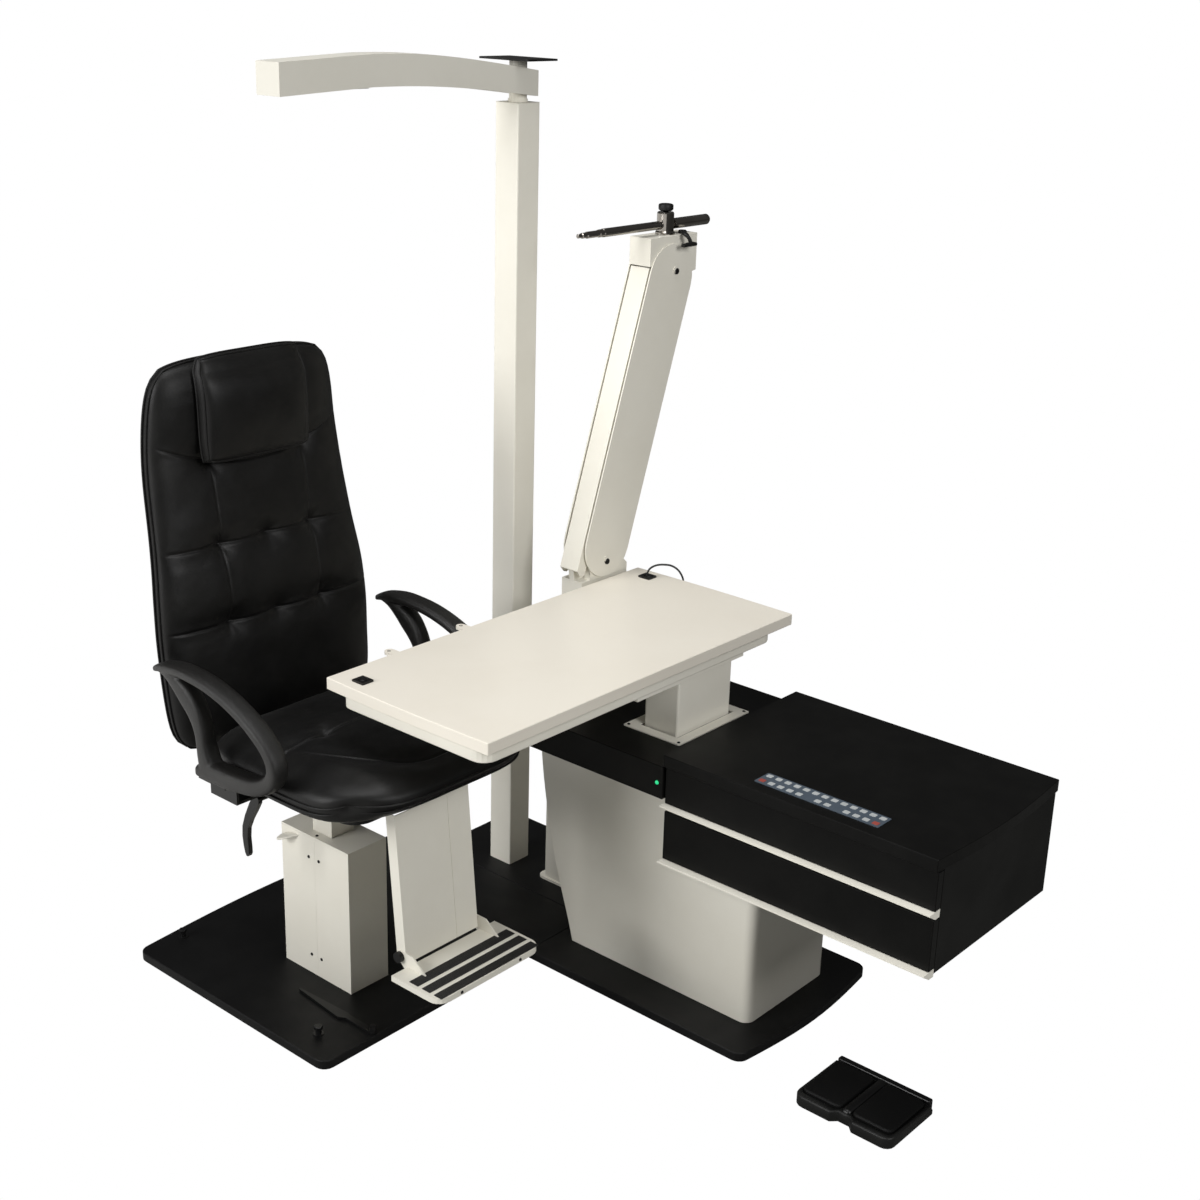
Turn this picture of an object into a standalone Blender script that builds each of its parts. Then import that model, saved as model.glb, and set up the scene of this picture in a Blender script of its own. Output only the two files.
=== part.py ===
"""A refraction unit: patient chair, instrument table, console, refractor arm and lamp column.

Metres, +Z up. The origin is on the floor under the lamp column. +X is the way the patient faces,
and the unit stands on the patient's left, towards +Y.
"""

import math

import bmesh
import bpy
from mathutils import Matrix, Vector

# Fits that every assembly shares
GAP = 0.0003  # clearance left between pieces that touch
OVERRUN = 0.004  # how far a cutter runs past the wall that it opens
PIN_CLEARANCE = 0.00015  # radial clearance of a pin in its hole

# Base plates
PLATE_THICKNESS = 0.020
PLATE_CORNER = 0.025
PLATE_EDGE = 0.0015
CHAIR_PLATE_BACK = -0.281
CHAIR_PLATE_FRONT = 0.326
CHAIR_PLATE_SIDE = -0.857
CHAIR_PLATE_BULGE = 0.022
PLATE_SEAM = -0.087
UNIT_PLATE_BACK = -0.159
UNIT_PLATE_FRONT = 0.901
UNIT_PLATE_NEAR = -0.2795
UNIT_PLATE_FAR = 0.176
UNIT_PLATE_BULGE = 0.017

# Lock pedal lying on the chair plate
LOCK_PEDAL_X = 0.316
LOCK_PEDAL_Y = -0.7215
LOCK_PEDAL_LENGTH = 0.224
LOCK_PEDAL_WIDTH = 0.030
LOCK_PEDAL_TIP = 0.004
LOCK_PEDAL_ARM = 0.013
LOCK_PEDAL_THICKNESS = 0.005
LOCK_PEDAL_BOLT = 0.006
LOCK_PEDAL_BOLT_HEIGHT = 0.018

# Lamp column
POLE_SIDE = 0.065
POLE_WALL = 0.003
POLE_TOP = 1.763
POLE_CORNER = 0.003
BUSH_DEPTH = 0.045
BUSH_LIP = 0.001
SPINDLE_RADIUS = 0.0185
SPINDLE_COLLAR = 0.0205
SPINDLE_COLLAR_THICKNESS = 0.006
SPINDLE_SHOW = 0.0060
SPINDLE_SEAT = 0.010  # how deep the spindle and the post sit in the lamp arm
LAMP_ARM_WIDTH = 0.065
LAMP_ARM_BACK = 0.0265
LAMP_ARM_REACH = 0.647
LAMP_ARM_HEIGHT = 0.051
LAMP_ARM_RISE = 0.030
LAMP_HEAD_LENGTH = 0.218
LAMP_LENS_RIM = 0.008
LAMP_LENS_THICKNESS = 0.004
LAMP_LENS_POCKET = 0.012
PROJECTOR_POST_HEIGHT = 0.0195
PROJECTOR_PLATE_LENGTH = 0.138
PROJECTOR_PLATE_WIDTH = 0.092
PROJECTOR_PLATE_THICKNESS = 0.004

# Chair column
CHAIR_X = 0.0775
CHAIR_Y = -0.608
COVER_LENGTH = 0.207
COVER_WIDTH = 0.1025
COVER_HEIGHT = 0.321
COVER_WALL = 0.0025
CAP_THICKNESS = 0.004
MAST_SIDE = 0.058
MAST_WALL = 0.004
MAST_CLEARANCE = 0.0005
GUIDE_WALL = 0.0035
MECHANISM_BOTTOM = 0.440
MAST_HEAD = 0.008
MAST_HEAD_RADIUS = 0.042
MAST_FOOT = 0.110
SWIVEL_LEVER_WIDTH = 0.022
SWIVEL_LEVER_THICKNESS = 0.0025
SWIVEL_LEVER_REACH = 0.050
SWIVEL_LEVER_DROP = 0.028
SWIVEL_LEVER_TURN = -148.0

# Seat
MECHANISM_LENGTH = 0.220
MECHANISM_WIDTH = 0.140
MECHANISM_HEIGHT = 0.068
PAN_THICKNESS = 0.014
PAN_LENGTH = 0.430
PAN_MARGIN = 0.040
PAN_BACK = -0.015
PAN_CORNER = 0.060
SEAT_BACK = -0.032
SEAT_FRONT = 0.455
SEAT_WIDTH = 0.520
SEAT_SEAM = 0.572
SEAT_TOP = 0.636
SEAT_CROWN = 0.014
SEAT_CHANNEL_DEPTH = 0.009
SEAT_CHANNEL_WIDTH = 0.016
RECLINE_X = -0.042
RECLINE_Z = 0.478
RECLINE_PIN = 0.007
RECLINE_PIN_LENGTH = 0.112
MECHANISM_EAR = 0.020

# Backrest
BACK_BOTTOM = 0.535
BACK_TOP = 1.316
BACK_FRONT_THICKNESS = 0.050
BACK_REAR_THICKNESS = 0.042
BACK_WIDTH = 0.519
BACK_LEAN = 0.050
BACK_FOOT_X = -0.118
BACK_CHANNEL_DEPTH = 0.014
BACK_CHANNEL_WIDTH = 0.018
TUFT_DEPTH = 0.012
TUFT_WIDTH = 0.030
TUFT_SPACING = 0.115
PILLOW_OVER = 0.008  # how far the pillow stands over the backrest's top
PILLOW_HEIGHT = 0.214
PILLOW_WIDTH = 0.300
PILLOW_THICKNESS = 0.050
PILLOW_RELIEF = 0.0010  # room for the facets of the two curved faces
BACK_BAR_WIDTH = 0.070
BACK_BAR_THICKNESS = 0.008
BACK_BAR_SHARE = 0.339  # of the backrest's height
BACK_BAR_EYE = 0.015

# Armrests
ARM_SIDE_GAP = 0.0035
ARM_THICKNESS = 0.042
ARM_LENGTH = 0.370
ARM_HEIGHT = 0.228
ARM_BACK = -0.094
ARM_BOTTOM = 0.556
ARM_ROUND = 0.011
BRACKET_THICKNESS = 0.006
BRACKET_LENGTH = 0.080
BRACKET_X = 0.075

# Recline lever and tension knob
LEVER_X = 0.067
LEVER_Z = 0.474
LEVER_SHAFT = 0.0055
LEVER_REACH = 0.112
LEVER_WIDTH = 0.020
LEVER_THICKNESS = 0.010
LEVER_DROP = 0.128
LEVER_SWEEP = 0.036
KNOB_X = 0.013
KNOB_Z = 0.458
KNOB_SHAFT = 0.005
KNOB_REACH = 0.090
KNOB_RADIUS = 0.014
KNOB_LENGTH = 0.022
KNOB_FLUTES = 12
KNOB_FLUTE = 0.0015

# Footrest
SUPPORT_TOP_X = 0.370
SUPPORT_BOTTOM_X = 0.399
SUPPORT_BOTTOM = 0.206
SUPPORT_NEAR = -0.705
SUPPORT_WIDTH = 0.195
SUPPORT_DEPTH = 0.025
SUPPORT_WALL = 0.0025
SUPPORT_SEAM_SHARE = 0.70
SUPPORT_GROOVE = 0.002
FOOT_PIVOT_X = 0.386
FOOT_PIVOT_Z = 0.220
FOOT_PIN = 0.005
FOOT_PIN_HEAD = 0.011
FOOT_PIN_HEAD_LENGTH = 0.009
FOOTPLATE_BACK = 0.404
FOOTPLATE_FRONT = 0.536
FOOTPLATE_NEAR = -0.749
FOOTPLATE_WIDTH = 0.282
FOOTPLATE_TOP = 0.203
FOOTPLATE_RIM = 0.012
FOOTPLATE_WALL = 0.003
FOOTPLATE_CORNER = 0.028
FOOT_EAR_THICKNESS = 0.003
FOOT_EAR_LENGTH = 0.055
FOOT_EAR_RADIUS = 0.011

# Pedestal
PEDESTAL_NEAR = -0.186
PEDESTAL_FAR = 0.090
PEDESTAL_LEFT = 0.264
PEDESTAL_RIGHT = 0.846
PEDESTAL_SWEEP = 0.105
PEDESTAL_WALL = 0.003
PEDESTAL_CORNER = 0.022

# Console deck, worktop and drawer carcass
DECK_LEFT = 0.252
DECK_RIGHT = 0.681
DECK_NEAR = -0.288
DECK_FAR = 0.154
DECK_BOTTOM = 0.508
DECK_TOP = 0.578
WORKTOP_RIGHT = 1.289
WORKTOP_BULGE = 0.013
WORKTOP_TOP = 0.605
WORKTOP_BOTTOM = 0.580
EDGE_ROUND = 0.0012
CARCASS_LEFT = 0.684
CARCASS_NEAR = -0.265
CARCASS_FAR = 0.146
CARCASS_BOTTOM = 0.3685
BOARD = 0.016
RUNNER_WIDTH = 0.012
RUNNER_HEIGHT = 0.010
FRONT_THICKNESS = 0.018
UPPER_FRONT_HEIGHT = 0.077
LOWER_FRONT_HEIGHT = 0.104
UPPER_FRONT_BOTTOM = 0.5005
LOWER_FRONT_BOTTOM = 0.3795
DRAWER_DEPTH = 0.350
DRAWER_WALL = 0.010
DRAWER_SIDE_CLEARANCE = 0.002
UPPER_DRAWER_HEIGHT = 0.055
LOWER_DRAWER_HEIGHT = 0.080
HANDLE_HEIGHT = 0.0155
HANDLE_DEPTH = 0.016
HANDLE_LIP = 0.003
KEYPAD_LEFT = 0.876
KEYPAD_LENGTH = 0.272
KEYPAD_NEAR = -0.261
KEYPAD_WIDTH = 0.047
KEYPAD_THICKNESS = 0.0012

# Instrument table
TABLE_COLUMN_LEFT = 0.527
TABLE_COLUMN_LENGTH = 0.086
TABLE_COLUMN_NEAR = -0.161
TABLE_COLUMN_WIDTH = 0.174
TABLE_COLUMN_WALL = 0.004
TABLE_COLUMN_FOOT = 0.200
TABLE_COLUMN_CORNER = 0.004
TABLE_GUIDE_WALL = 0.004
TABLE_CLEARANCE = 0.0005
TRIM_MARGIN_X = 0.030
TRIM_THICKNESS = 0.0025
TRIM_CLEARANCE = 0.006
HEAD_BOTTOM = 0.700
HEAD_THICKNESS = 0.0105
HEAD_NEAR = -0.300
HEAD_FAR = 0.040
RAIL_WIDTH = 0.050
RAIL_HEIGHT = 0.014
RAIL_CLEARANCE = 0.0008
TRAY_LEFT = 0.245
TRAY_RIGHT = 0.628
TRAY_NEAR = -0.727
TRAY_FAR = 0.135
TRAY_HEIGHT = 0.0297
TRAY_CORNER = 0.030
TRAY_WALL = 0.004
BOARD_LEFT = 0.224
BOARD_RIGHT = 0.647
BOARD_NEAR = -0.738
BOARD_FAR = 0.172
BOARD_THICKNESS = 0.024
BOARD_BULGE = 0.004
BOSS_RADIUS = 0.0105
BOSS_OUT = 0.0185
BOSS_HEIGHT = 0.0065
BOSS_DROP = 0.0013
SOCKET_LENGTH = 0.030
SOCKET_WIDTH = 0.027
SOCKET_PROUD = 0.004
SOCKET_DEPTH = 0.010
SOCKET_SLOT = 0.012
NEAR_SOCKET_X = 0.287
NEAR_SOCKET_Y = -0.7035
FAR_SOCKET_X = 0.283
FAR_SOCKET_Y = 0.1345
CABLE_RADIUS = 0.0022
CABLE_REACH = 0.057
CABLE_SWING = 0.051
CABLE_RISE = 0.0255

# Refractor arm
REFRACTOR_X = 0.186
REFRACTOR_Y = 0.068
FOOT_COLUMN_LENGTH = 0.101
FOOT_COLUMN_WIDTH = 0.181
FOOT_COLUMN_TOP = 0.700
FOOT_COLUMN_CORNER = 0.004
FOOT_COLUMN_WALL = 0.004
FLANGE_MARGIN = 0.018
FLANGE_THICKNESS = 0.006
FLANGE_CORNER = 0.016
POST_LENGTH = 0.059
POST_WIDTH = 0.151
POST_TOP = 0.7660
FORK_SHOULDER = 0.016
LINK_LENGTH = 0.6435
LINK_LEAN = 18.2
LOWER_PIVOT_Z = 0.808
CHEEK_THICKNESS = 0.003
CHEEK_FRONT = 0.079
CHEEK_BACK = 0.066
CHEEK_ROUND = 0.0725
CHEEK_TOP_END = 0.053
CHEEK_BOTTOM_END = 0.0415
CHEEK_CLEARANCE = 0.0006
WEB_INSET = 0.062
PIVOT_RADIUS = 0.005
PIVOT_HEAD = 0.0065
PIVOT_HEAD_THICKNESS = 0.0022
PIVOT_BOSS = 0.0115
ROCKER = 0.070  # from the main pivots to the front link's pivots
LIFT_SWING = 60.0  # the rocker is square to the arm after half of this many degrees
FRONT_LINK_WIDTH = 0.050
FRONT_LINK_AHEAD = 0.0184
FRONT_LINK_BEHIND = 0.009
FRONT_LINK_WALL = 0.003
FRONT_LINK_ABOVE = 0.020
FRONT_LINK_BELOW = 0.0115
ROCKER_THICKNESS = 0.014
ROCKER_RADIUS = 0.011
LINK_PIN = 0.004
HEAD_FRONT = 0.082
HEAD_BACK = 0.0765
HEAD_TOP = 0.0725
HEAD_DEPTH = 0.064
HEAD_HEEL = 0.080
CLAMP_RADIUS = 0.0185
CLAMP_HEIGHT = 0.047
ROD_RADIUS = 0.009
ROD_RISE = 0.020
ROD_TIP = 0.284
ROD_TAIL = 0.145
ROD_TAIL_RADIUS = 0.0115
ROD_TAIL_LENGTH = 0.1225
ROD_NOSE_RADIUS = 0.0065
ROD_NOSE_LENGTH = 0.078
CLAMP_KNOB_RADIUS = 0.018
CLAMP_KNOB_HEIGHT = 0.017
CLAMP_STEM = 0.006
ROD_LOCK_OFFSET = 0.040
ROD_LOCK_RADIUS = 0.010
ROD_LOCK_HEIGHT = 0.012
ROD_LOCK_REACH = 0.045
ROD_LOCK_WIDTH = 0.010
ROD_LOCK_FOOT = 0.045

# Foot switch
SWITCH_X = 1.046
SWITCH_Y = -0.311
SWITCH_LENGTH = 0.216
SWITCH_WIDTH = 0.186
SWITCH_HEIGHT = 0.024
SWITCH_CORNER = 0.020
SWITCH_WAIST = 0.012
SWITCH_LEDGE = 0.036
SWITCH_LEDGE_HEIGHT = 0.010
SWITCH_INLET_RADIUS = 0.004
SWITCH_INLET_LENGTH = 0.006
TREADLE_INSET = 0.008
TREADLE_POCKET = 0.018
TREADLE_PROUD = 0.007
TREADLE_TILT_ROOM = 0.009
TREADLE_HEEL = 0.004
TREADLE_SPACING = 0.024
TREADLE_CORNER = 0.012
TREADLE_EDGE = 0.003

LOOKS = {
    # colour, metallic, roughness
    "cream_paint": ((0.86, 0.84, 0.77), 0.0, 0.38),
    "black_plate": ((0.012, 0.012, 0.012), 0.0, 0.55),
    "black_laminate": ((0.010, 0.010, 0.010), 0.0, 0.42),
    "ivory_laminate": ((0.83, 0.79, 0.70), 0.0, 0.35),
    "black_leather": ((0.012, 0.012, 0.013), 0.0, 0.45),
    "black_plastic": ((0.016, 0.016, 0.016), 0.0, 0.50),
    "black_steel": ((0.015, 0.015, 0.015), 0.6, 0.45),
    "bright_steel": ((0.55, 0.55, 0.53), 1.0, 0.25),
    "dark_chrome": ((0.30, 0.29, 0.27), 1.0, 0.15),
    "handle_cream": ((0.85, 0.82, 0.74), 0.0, 0.40),
    "keypad_slate": ((0.16, 0.20, 0.24), 0.0, 0.40),
    "lamp_lens": ((0.80, 0.80, 0.78), 0.0, 0.25),
    "black_rubber": ((0.013, 0.013, 0.013), 0.0, 0.70),
}


# Working helpers


def clear_scene():
    for old in list(bpy.data.objects):
        bpy.data.objects.remove(old, do_unlink=True)


def paint(look):
    """The Principled material of one finish, made once."""
    found = bpy.data.materials.get(look)
    if found:
        return found
    colour, metallic, roughness = LOOKS[look]
    made = bpy.data.materials.new(look)
    made.use_nodes = True
    shader = made.node_tree.nodes["Principled BSDF"]
    shader.inputs["Base Color"].default_value = (*colour, 1.0)
    shader.inputs["Metallic"].default_value = metallic
    shader.inputs["Roughness"].default_value = roughness
    made.diffuse_color = (*colour, 1.0)
    return made


def hub(name, at, carrier=None):
    """An empty on a joint's axis; pieces that move with the joint hang on it."""
    empty = bpy.data.objects.new(name, None)
    empty["at"] = list(at)
    base = Vector(carrier["at"]) if carrier else Vector()
    empty.location = Vector(at) - base
    empty.parent = carrier
    bpy.context.collection.objects.link(empty)
    return empty


def piece(name, shape, look, on=None, smooth=False):
    """Turns a bmesh, given in world places, into an object that hangs on its hub."""
    bmesh.ops.remove_doubles(shape, verts=shape.verts, dist=1e-6)
    bmesh.ops.recalc_face_normals(shape, faces=shape.faces)
    if on:
        bmesh.ops.translate(shape, verts=shape.verts, vec=-Vector(on["at"]))
    mesh = bpy.data.meshes.new(name)
    shape.to_mesh(mesh)
    shape.free()
    if smooth:
        mesh.shade_smooth()
        mesh.set_sharp_from_angle(angle=math.radians(35))
    made = bpy.data.objects.new(name, mesh)
    made.data.materials.append(paint(look))
    made.parent = on
    bpy.context.collection.objects.link(made)
    return made


def shape_with(target, shape, operation, name):
    """Adds, or cuts away, a helper shape with an exact Boolean."""
    helper = piece(f"{target.name}_{name}", shape, "black_steel")
    helper.hide_render = True
    helper.display_type = "WIRE"
    modifier = target.modifiers.new(name, "BOOLEAN")
    modifier.operation = operation
    modifier.solver = "EXACT"
    modifier.object = helper
    return target


def cut(target, shape, name="cut"):
    return shape_with(target, shape, "DIFFERENCE", name)


def weld(target, shape, name="weld"):
    return shape_with(target, shape, "UNION", name)


def soften(target, width, segments=1, angle=40):
    modifier = target.modifiers.new("edges", "BEVEL")
    modifier.width = width
    modifier.segments = segments
    modifier.limit_method = "ANGLE"
    modifier.angle_limit = math.radians(angle)
    return target


def block(x, y, z):
    """A box between three (low, high) pairs."""
    shape = bmesh.new()
    bmesh.ops.create_cube(shape, size=1)
    sizes = [high - low for low, high in (x, y, z)]
    middle = [(low + high) / 2 for low, high in (x, y, z)]
    bmesh.ops.scale(shape, verts=shape.verts, vec=sizes)
    bmesh.ops.translate(shape, verts=shape.verts, vec=middle)
    return shape


def prism(outline, low, high, along="Z"):
    """Extrudes an outline. Along Z it is (x, y), along Y (x, z) and along X (y, z)."""
    lift = {
        "Z": lambda a, b, c: (a, b, c),
        "Y": lambda a, b, c: (a, c, b),
        "X": lambda a, b, c: (c, a, b),
    }[along]
    shape = bmesh.new()
    verts = [shape.verts.new(lift(a, b, low)) for a, b in outline]
    face = shape.faces.new(verts)
    swept = bmesh.ops.extrude_face_region(shape, geom=[face])
    moved = [e for e in swept["geom"] if isinstance(e, bmesh.types.BMVert)]
    bmesh.ops.translate(shape, verts=moved, vec=lift(0, 0, high - low))
    return shape


def drum(centre, radius, low, high, along="Z", sides=32, far_radius=None):
    """A cylinder or a cone about a line through centre, a pair in the plane across the line."""
    shape = bmesh.new()
    turn = {
        "Z": Matrix.Identity(4),
        "Y": Matrix.Rotation(math.radians(-90), 4, "X"),
        "X": Matrix.Rotation(math.radians(90), 4, "Y"),
    }[along]
    middle = (low + high) / 2
    place = {
        "Z": (centre[0], centre[1], middle),
        "Y": (centre[0], middle, centre[1]),
        "X": (middle, centre[0], centre[1]),
    }[along]
    bmesh.ops.create_cone(
        shape,
        cap_ends=True,
        segments=sides,
        radius1=radius,
        radius2=radius if far_radius is None else far_radius,
        depth=high - low,
        matrix=Matrix.Translation(place) @ turn,
    )
    return shape


def turned(profile, centre, sides=32, along="Z"):
    """Turns a profile of (radius, height) pairs, from axis to axis, about a line."""
    shape = bmesh.new()
    last = None
    for radius, height in profile:
        point = shape.verts.new((radius, 0, height))
        if last:
            shape.edges.new((last, point))
        last = point
    bmesh.ops.spin(
        shape,
        geom=list(shape.verts) + list(shape.edges),
        axis=(0, 0, 1),
        cent=(0, 0, 0),
        steps=sides,
        angle=math.tau,
        use_merge=True,
    )
    bmesh.ops.remove_doubles(shape, verts=shape.verts, dist=1e-6)
    if along == "Y":
        bmesh.ops.rotate(shape, verts=shape.verts, matrix=Matrix.Rotation(math.radians(-90), 3, "X"))
    bmesh.ops.translate(shape, verts=shape.verts, vec=centre)
    return shape


def filleted(corners, steps=5):
    """An outline from (a, b, radius) corners, each rounded by its own radius."""
    points = []
    count = len(corners)
    for i, (a, b, radius) in enumerate(corners):
        here = Vector((a, b))
        if radius <= 0:
            points.append((a, b))
            continue
        back = (Vector(corners[i - 1][:2]) - here).normalized()
        ahead = (Vector(corners[(i + 1) % count][:2]) - here).normalized()
        half = back.angle(ahead) / 2
        centre = here + (back + ahead).normalized() * radius / math.sin(half)
        start = here + back * radius / math.tan(half) - centre
        end = here + ahead * radius / math.tan(half) - centre
        sweep = start.angle_signed(end)
        for k in range(steps + 1):
            arm = start.copy()
            arm.rotate(Matrix.Rotation(-sweep * k / steps, 2))
            points.append(tuple(centre + arm))
    return points


def rectangle(left, right, near, far, radius=0.0, steps=5):
    corners = [(left, near), (right, near), (right, far), (left, far)]
    return filleted([(a, b, radius) for a, b in corners], steps)


def bulged(start, end, bulge, steps=12):
    """Points of a shallow arc from start to end that stands out to the right by bulge."""
    start, end = Vector(start), Vector(end)
    across = end - start
    out = Vector((across.y, -across.x)).normalized()
    return [
        tuple(start + across * k / steps + out * bulge * math.sin(math.pi * k / steps))
        for k in range(1, steps)
    ]


def rounded_path(points, steps=4, closed=False):
    """A smooth curve through the points, by Catmull and Rom's rule."""
    count = len(points)
    spans = count if closed else count - 1
    pick = (lambda i: points[i % count]) if closed else (lambda i: points[min(max(i, 0), count - 1)])
    path = []
    for i in range(spans):
        p = [Vector(pick(i + k)) for k in (-1, 0, 1, 2)]
        for s in range(steps):
            t = s / steps
            path.append(
                (
                    p[1] * 2
                    + (p[2] - p[0]) * t
                    + (p[0] * 2 - p[1] * 5 + p[2] * 4 - p[3]) * t**2
                    + (p[1] * 3 - p[0] - p[2] * 3 + p[3]) * t**3
                )
                / 2
            )
    if not closed:
        path.append(Vector(points[-1]))
    return path


def cushion(columns, rows, place):
    """A closed pad of a front and a back grid, u and v from -1 to 1, that meet at the seam."""
    shape = bmesh.new()
    for side in (1, -1):
        made = bmesh.ops.create_grid(shape, x_segments=columns, y_segments=rows, size=1)
        for vert in made["verts"]:
            vert.co = place(vert.co.x, vert.co.y, side)
    bmesh.ops.remove_doubles(shape, verts=shape.verts, dist=1e-5)
    return shape


def swell(value, power, sharpness):
    """1 in the middle of a pad and 0 at its seam."""
    return max(0.0, 1.0 - abs(value) ** power) ** sharpness


def dent(distance, width):
    return math.exp(-((distance / width) ** 2))


def blend_along(table, share):
    """Reads a table of (share, value) pairs with smooth steps between them."""
    if share <= table[0][0]:
        return table[0][1]
    for (a, first), (b, second) in zip(table, table[1:]):
        if share <= b:
            t = (share - a) / (b - a)
            return first + (second - first) * t * t * (3 - 2 * t)
    return table[-1][1]


# Base


def build_base_plates():
    seam = PLATE_SEAM - GAP / 2
    left, right = CHAIR_PLATE_BACK, CHAIR_PLATE_FRONT
    outline = filleted(
        [
            (left, CHAIR_PLATE_SIDE, PLATE_CORNER),
            (right, CHAIR_PLATE_SIDE, PLATE_CORNER),
            (right, seam, 0),
            (left, seam, PLATE_CORNER),
        ]
    )
    last, first = outline[-1], outline[0]
    outline += bulged(last, first, CHAIR_PLATE_BULGE)
    soften(
        piece("chair_base_plate", prism(outline, 0, PLATE_THICKNESS), "black_plate"), PLATE_EDGE
    )
    inner_x, inner_y = CHAIR_PLATE_FRONT + GAP, PLATE_SEAM + GAP / 2
    near, far = UNIT_PLATE_NEAR, UNIT_PLATE_FAR
    outline = filleted(
        [
            (UNIT_PLATE_BACK, inner_y, 0),
            (inner_x, inner_y, 0),
            (inner_x, near, 0),
            (UNIT_PLATE_FRONT, near, PLATE_CORNER),
            (UNIT_PLATE_FRONT, far, PLATE_CORNER),
            (UNIT_PLATE_BACK, far, PLATE_CORNER),
        ]
    )
    split = max(range(len(outline)), key=lambda i: (outline[i][0], -abs(outline[i][1] - near)))
    while outline[split + 1][0] >= UNIT_PLATE_FRONT - GAP and outline[split + 1][1] < 0:
        split += 1
    arc = bulged(outline[split], outline[split + 1], UNIT_PLATE_BULGE)
    outline = outline[: split + 1] + arc + outline[split + 1 :]
    soften(
        piece("unit_base_plate", prism(outline, 0, PLATE_THICKNESS), "black_plate"), PLATE_EDGE
    )


def build_lock_pedal():
    floor = PLATE_THICKNESS + GAP
    at = (LOCK_PEDAL_X, LOCK_PEDAL_Y, floor)
    pivot = hub("lock_pedal_pivot", at)
    wide, slim, arm = LOCK_PEDAL_WIDTH / 2, LOCK_PEDAL_TIP / 2, LOCK_PEDAL_ARM / 2
    tread = LOCK_PEDAL_X - LOCK_PEDAL_LENGTH
    neck = LOCK_PEDAL_X - LOCK_PEDAL_LENGTH * 0.36
    outline = filleted(
        [
            (tread, LOCK_PEDAL_Y - slim, slim * 0.9),
            (neck - arm, LOCK_PEDAL_Y - wide, 0),
            (neck + arm, LOCK_PEDAL_Y - arm, 0),
            (LOCK_PEDAL_X + arm, LOCK_PEDAL_Y - arm, arm * 0.9),
            (LOCK_PEDAL_X + arm, LOCK_PEDAL_Y + arm, arm * 0.9),
            (neck + arm, LOCK_PEDAL_Y + arm, 0),
            (neck, LOCK_PEDAL_Y + wide * 0.6, 0),
            (tread, LOCK_PEDAL_Y + slim, slim * 0.9),
        ]
    )
    top = floor + LOCK_PEDAL_THICKNESS
    pedal = piece("lock_pedal", prism(outline, floor, top), "black_steel", on=pivot)
    centre = (LOCK_PEDAL_X, LOCK_PEDAL_Y)
    head = floor + LOCK_PEDAL_BOLT_HEIGHT
    weld(pedal, drum(centre, LOCK_PEDAL_BOLT, top - GAP, head, sides=24), "bolt")


# Lamp column


def lamp_arm_outline():
    """Side view of the curved arm: it rises away from the column, then runs level to its end."""
    bottom = POLE_TOP + SPINDLE_COLLAR_THICKNESS + SPINDLE_SHOW + BUSH_LIP
    crest = LAMP_ARM_REACH * 0.60
    start = LAMP_ARM_BACK
    end = -LAMP_ARM_REACH
    head = end + LAMP_HEAD_LENGTH

    def rise(y):
        share = min(1.0, (start - y) / (start + crest))
        return LAMP_ARM_RISE * math.sin(share * math.pi / 2)

    def fall(y):
        return LAMP_ARM_RISE * 0.35 * max(0.0, (head - y) / LAMP_HEAD_LENGTH)

    def height(y):
        return LAMP_ARM_HEIGHT * (1 + 0.16 * min(1.0, (start - y) / LAMP_ARM_REACH * 2))

    stations = [start + (end - start) * k / 18 for k in range(19)]
    under = [(y, bottom + rise(y) - fall(y)) for y in stations]
    over = [(y, z + height(y)) for y, z in under]
    return under + over[::-1]


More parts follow.
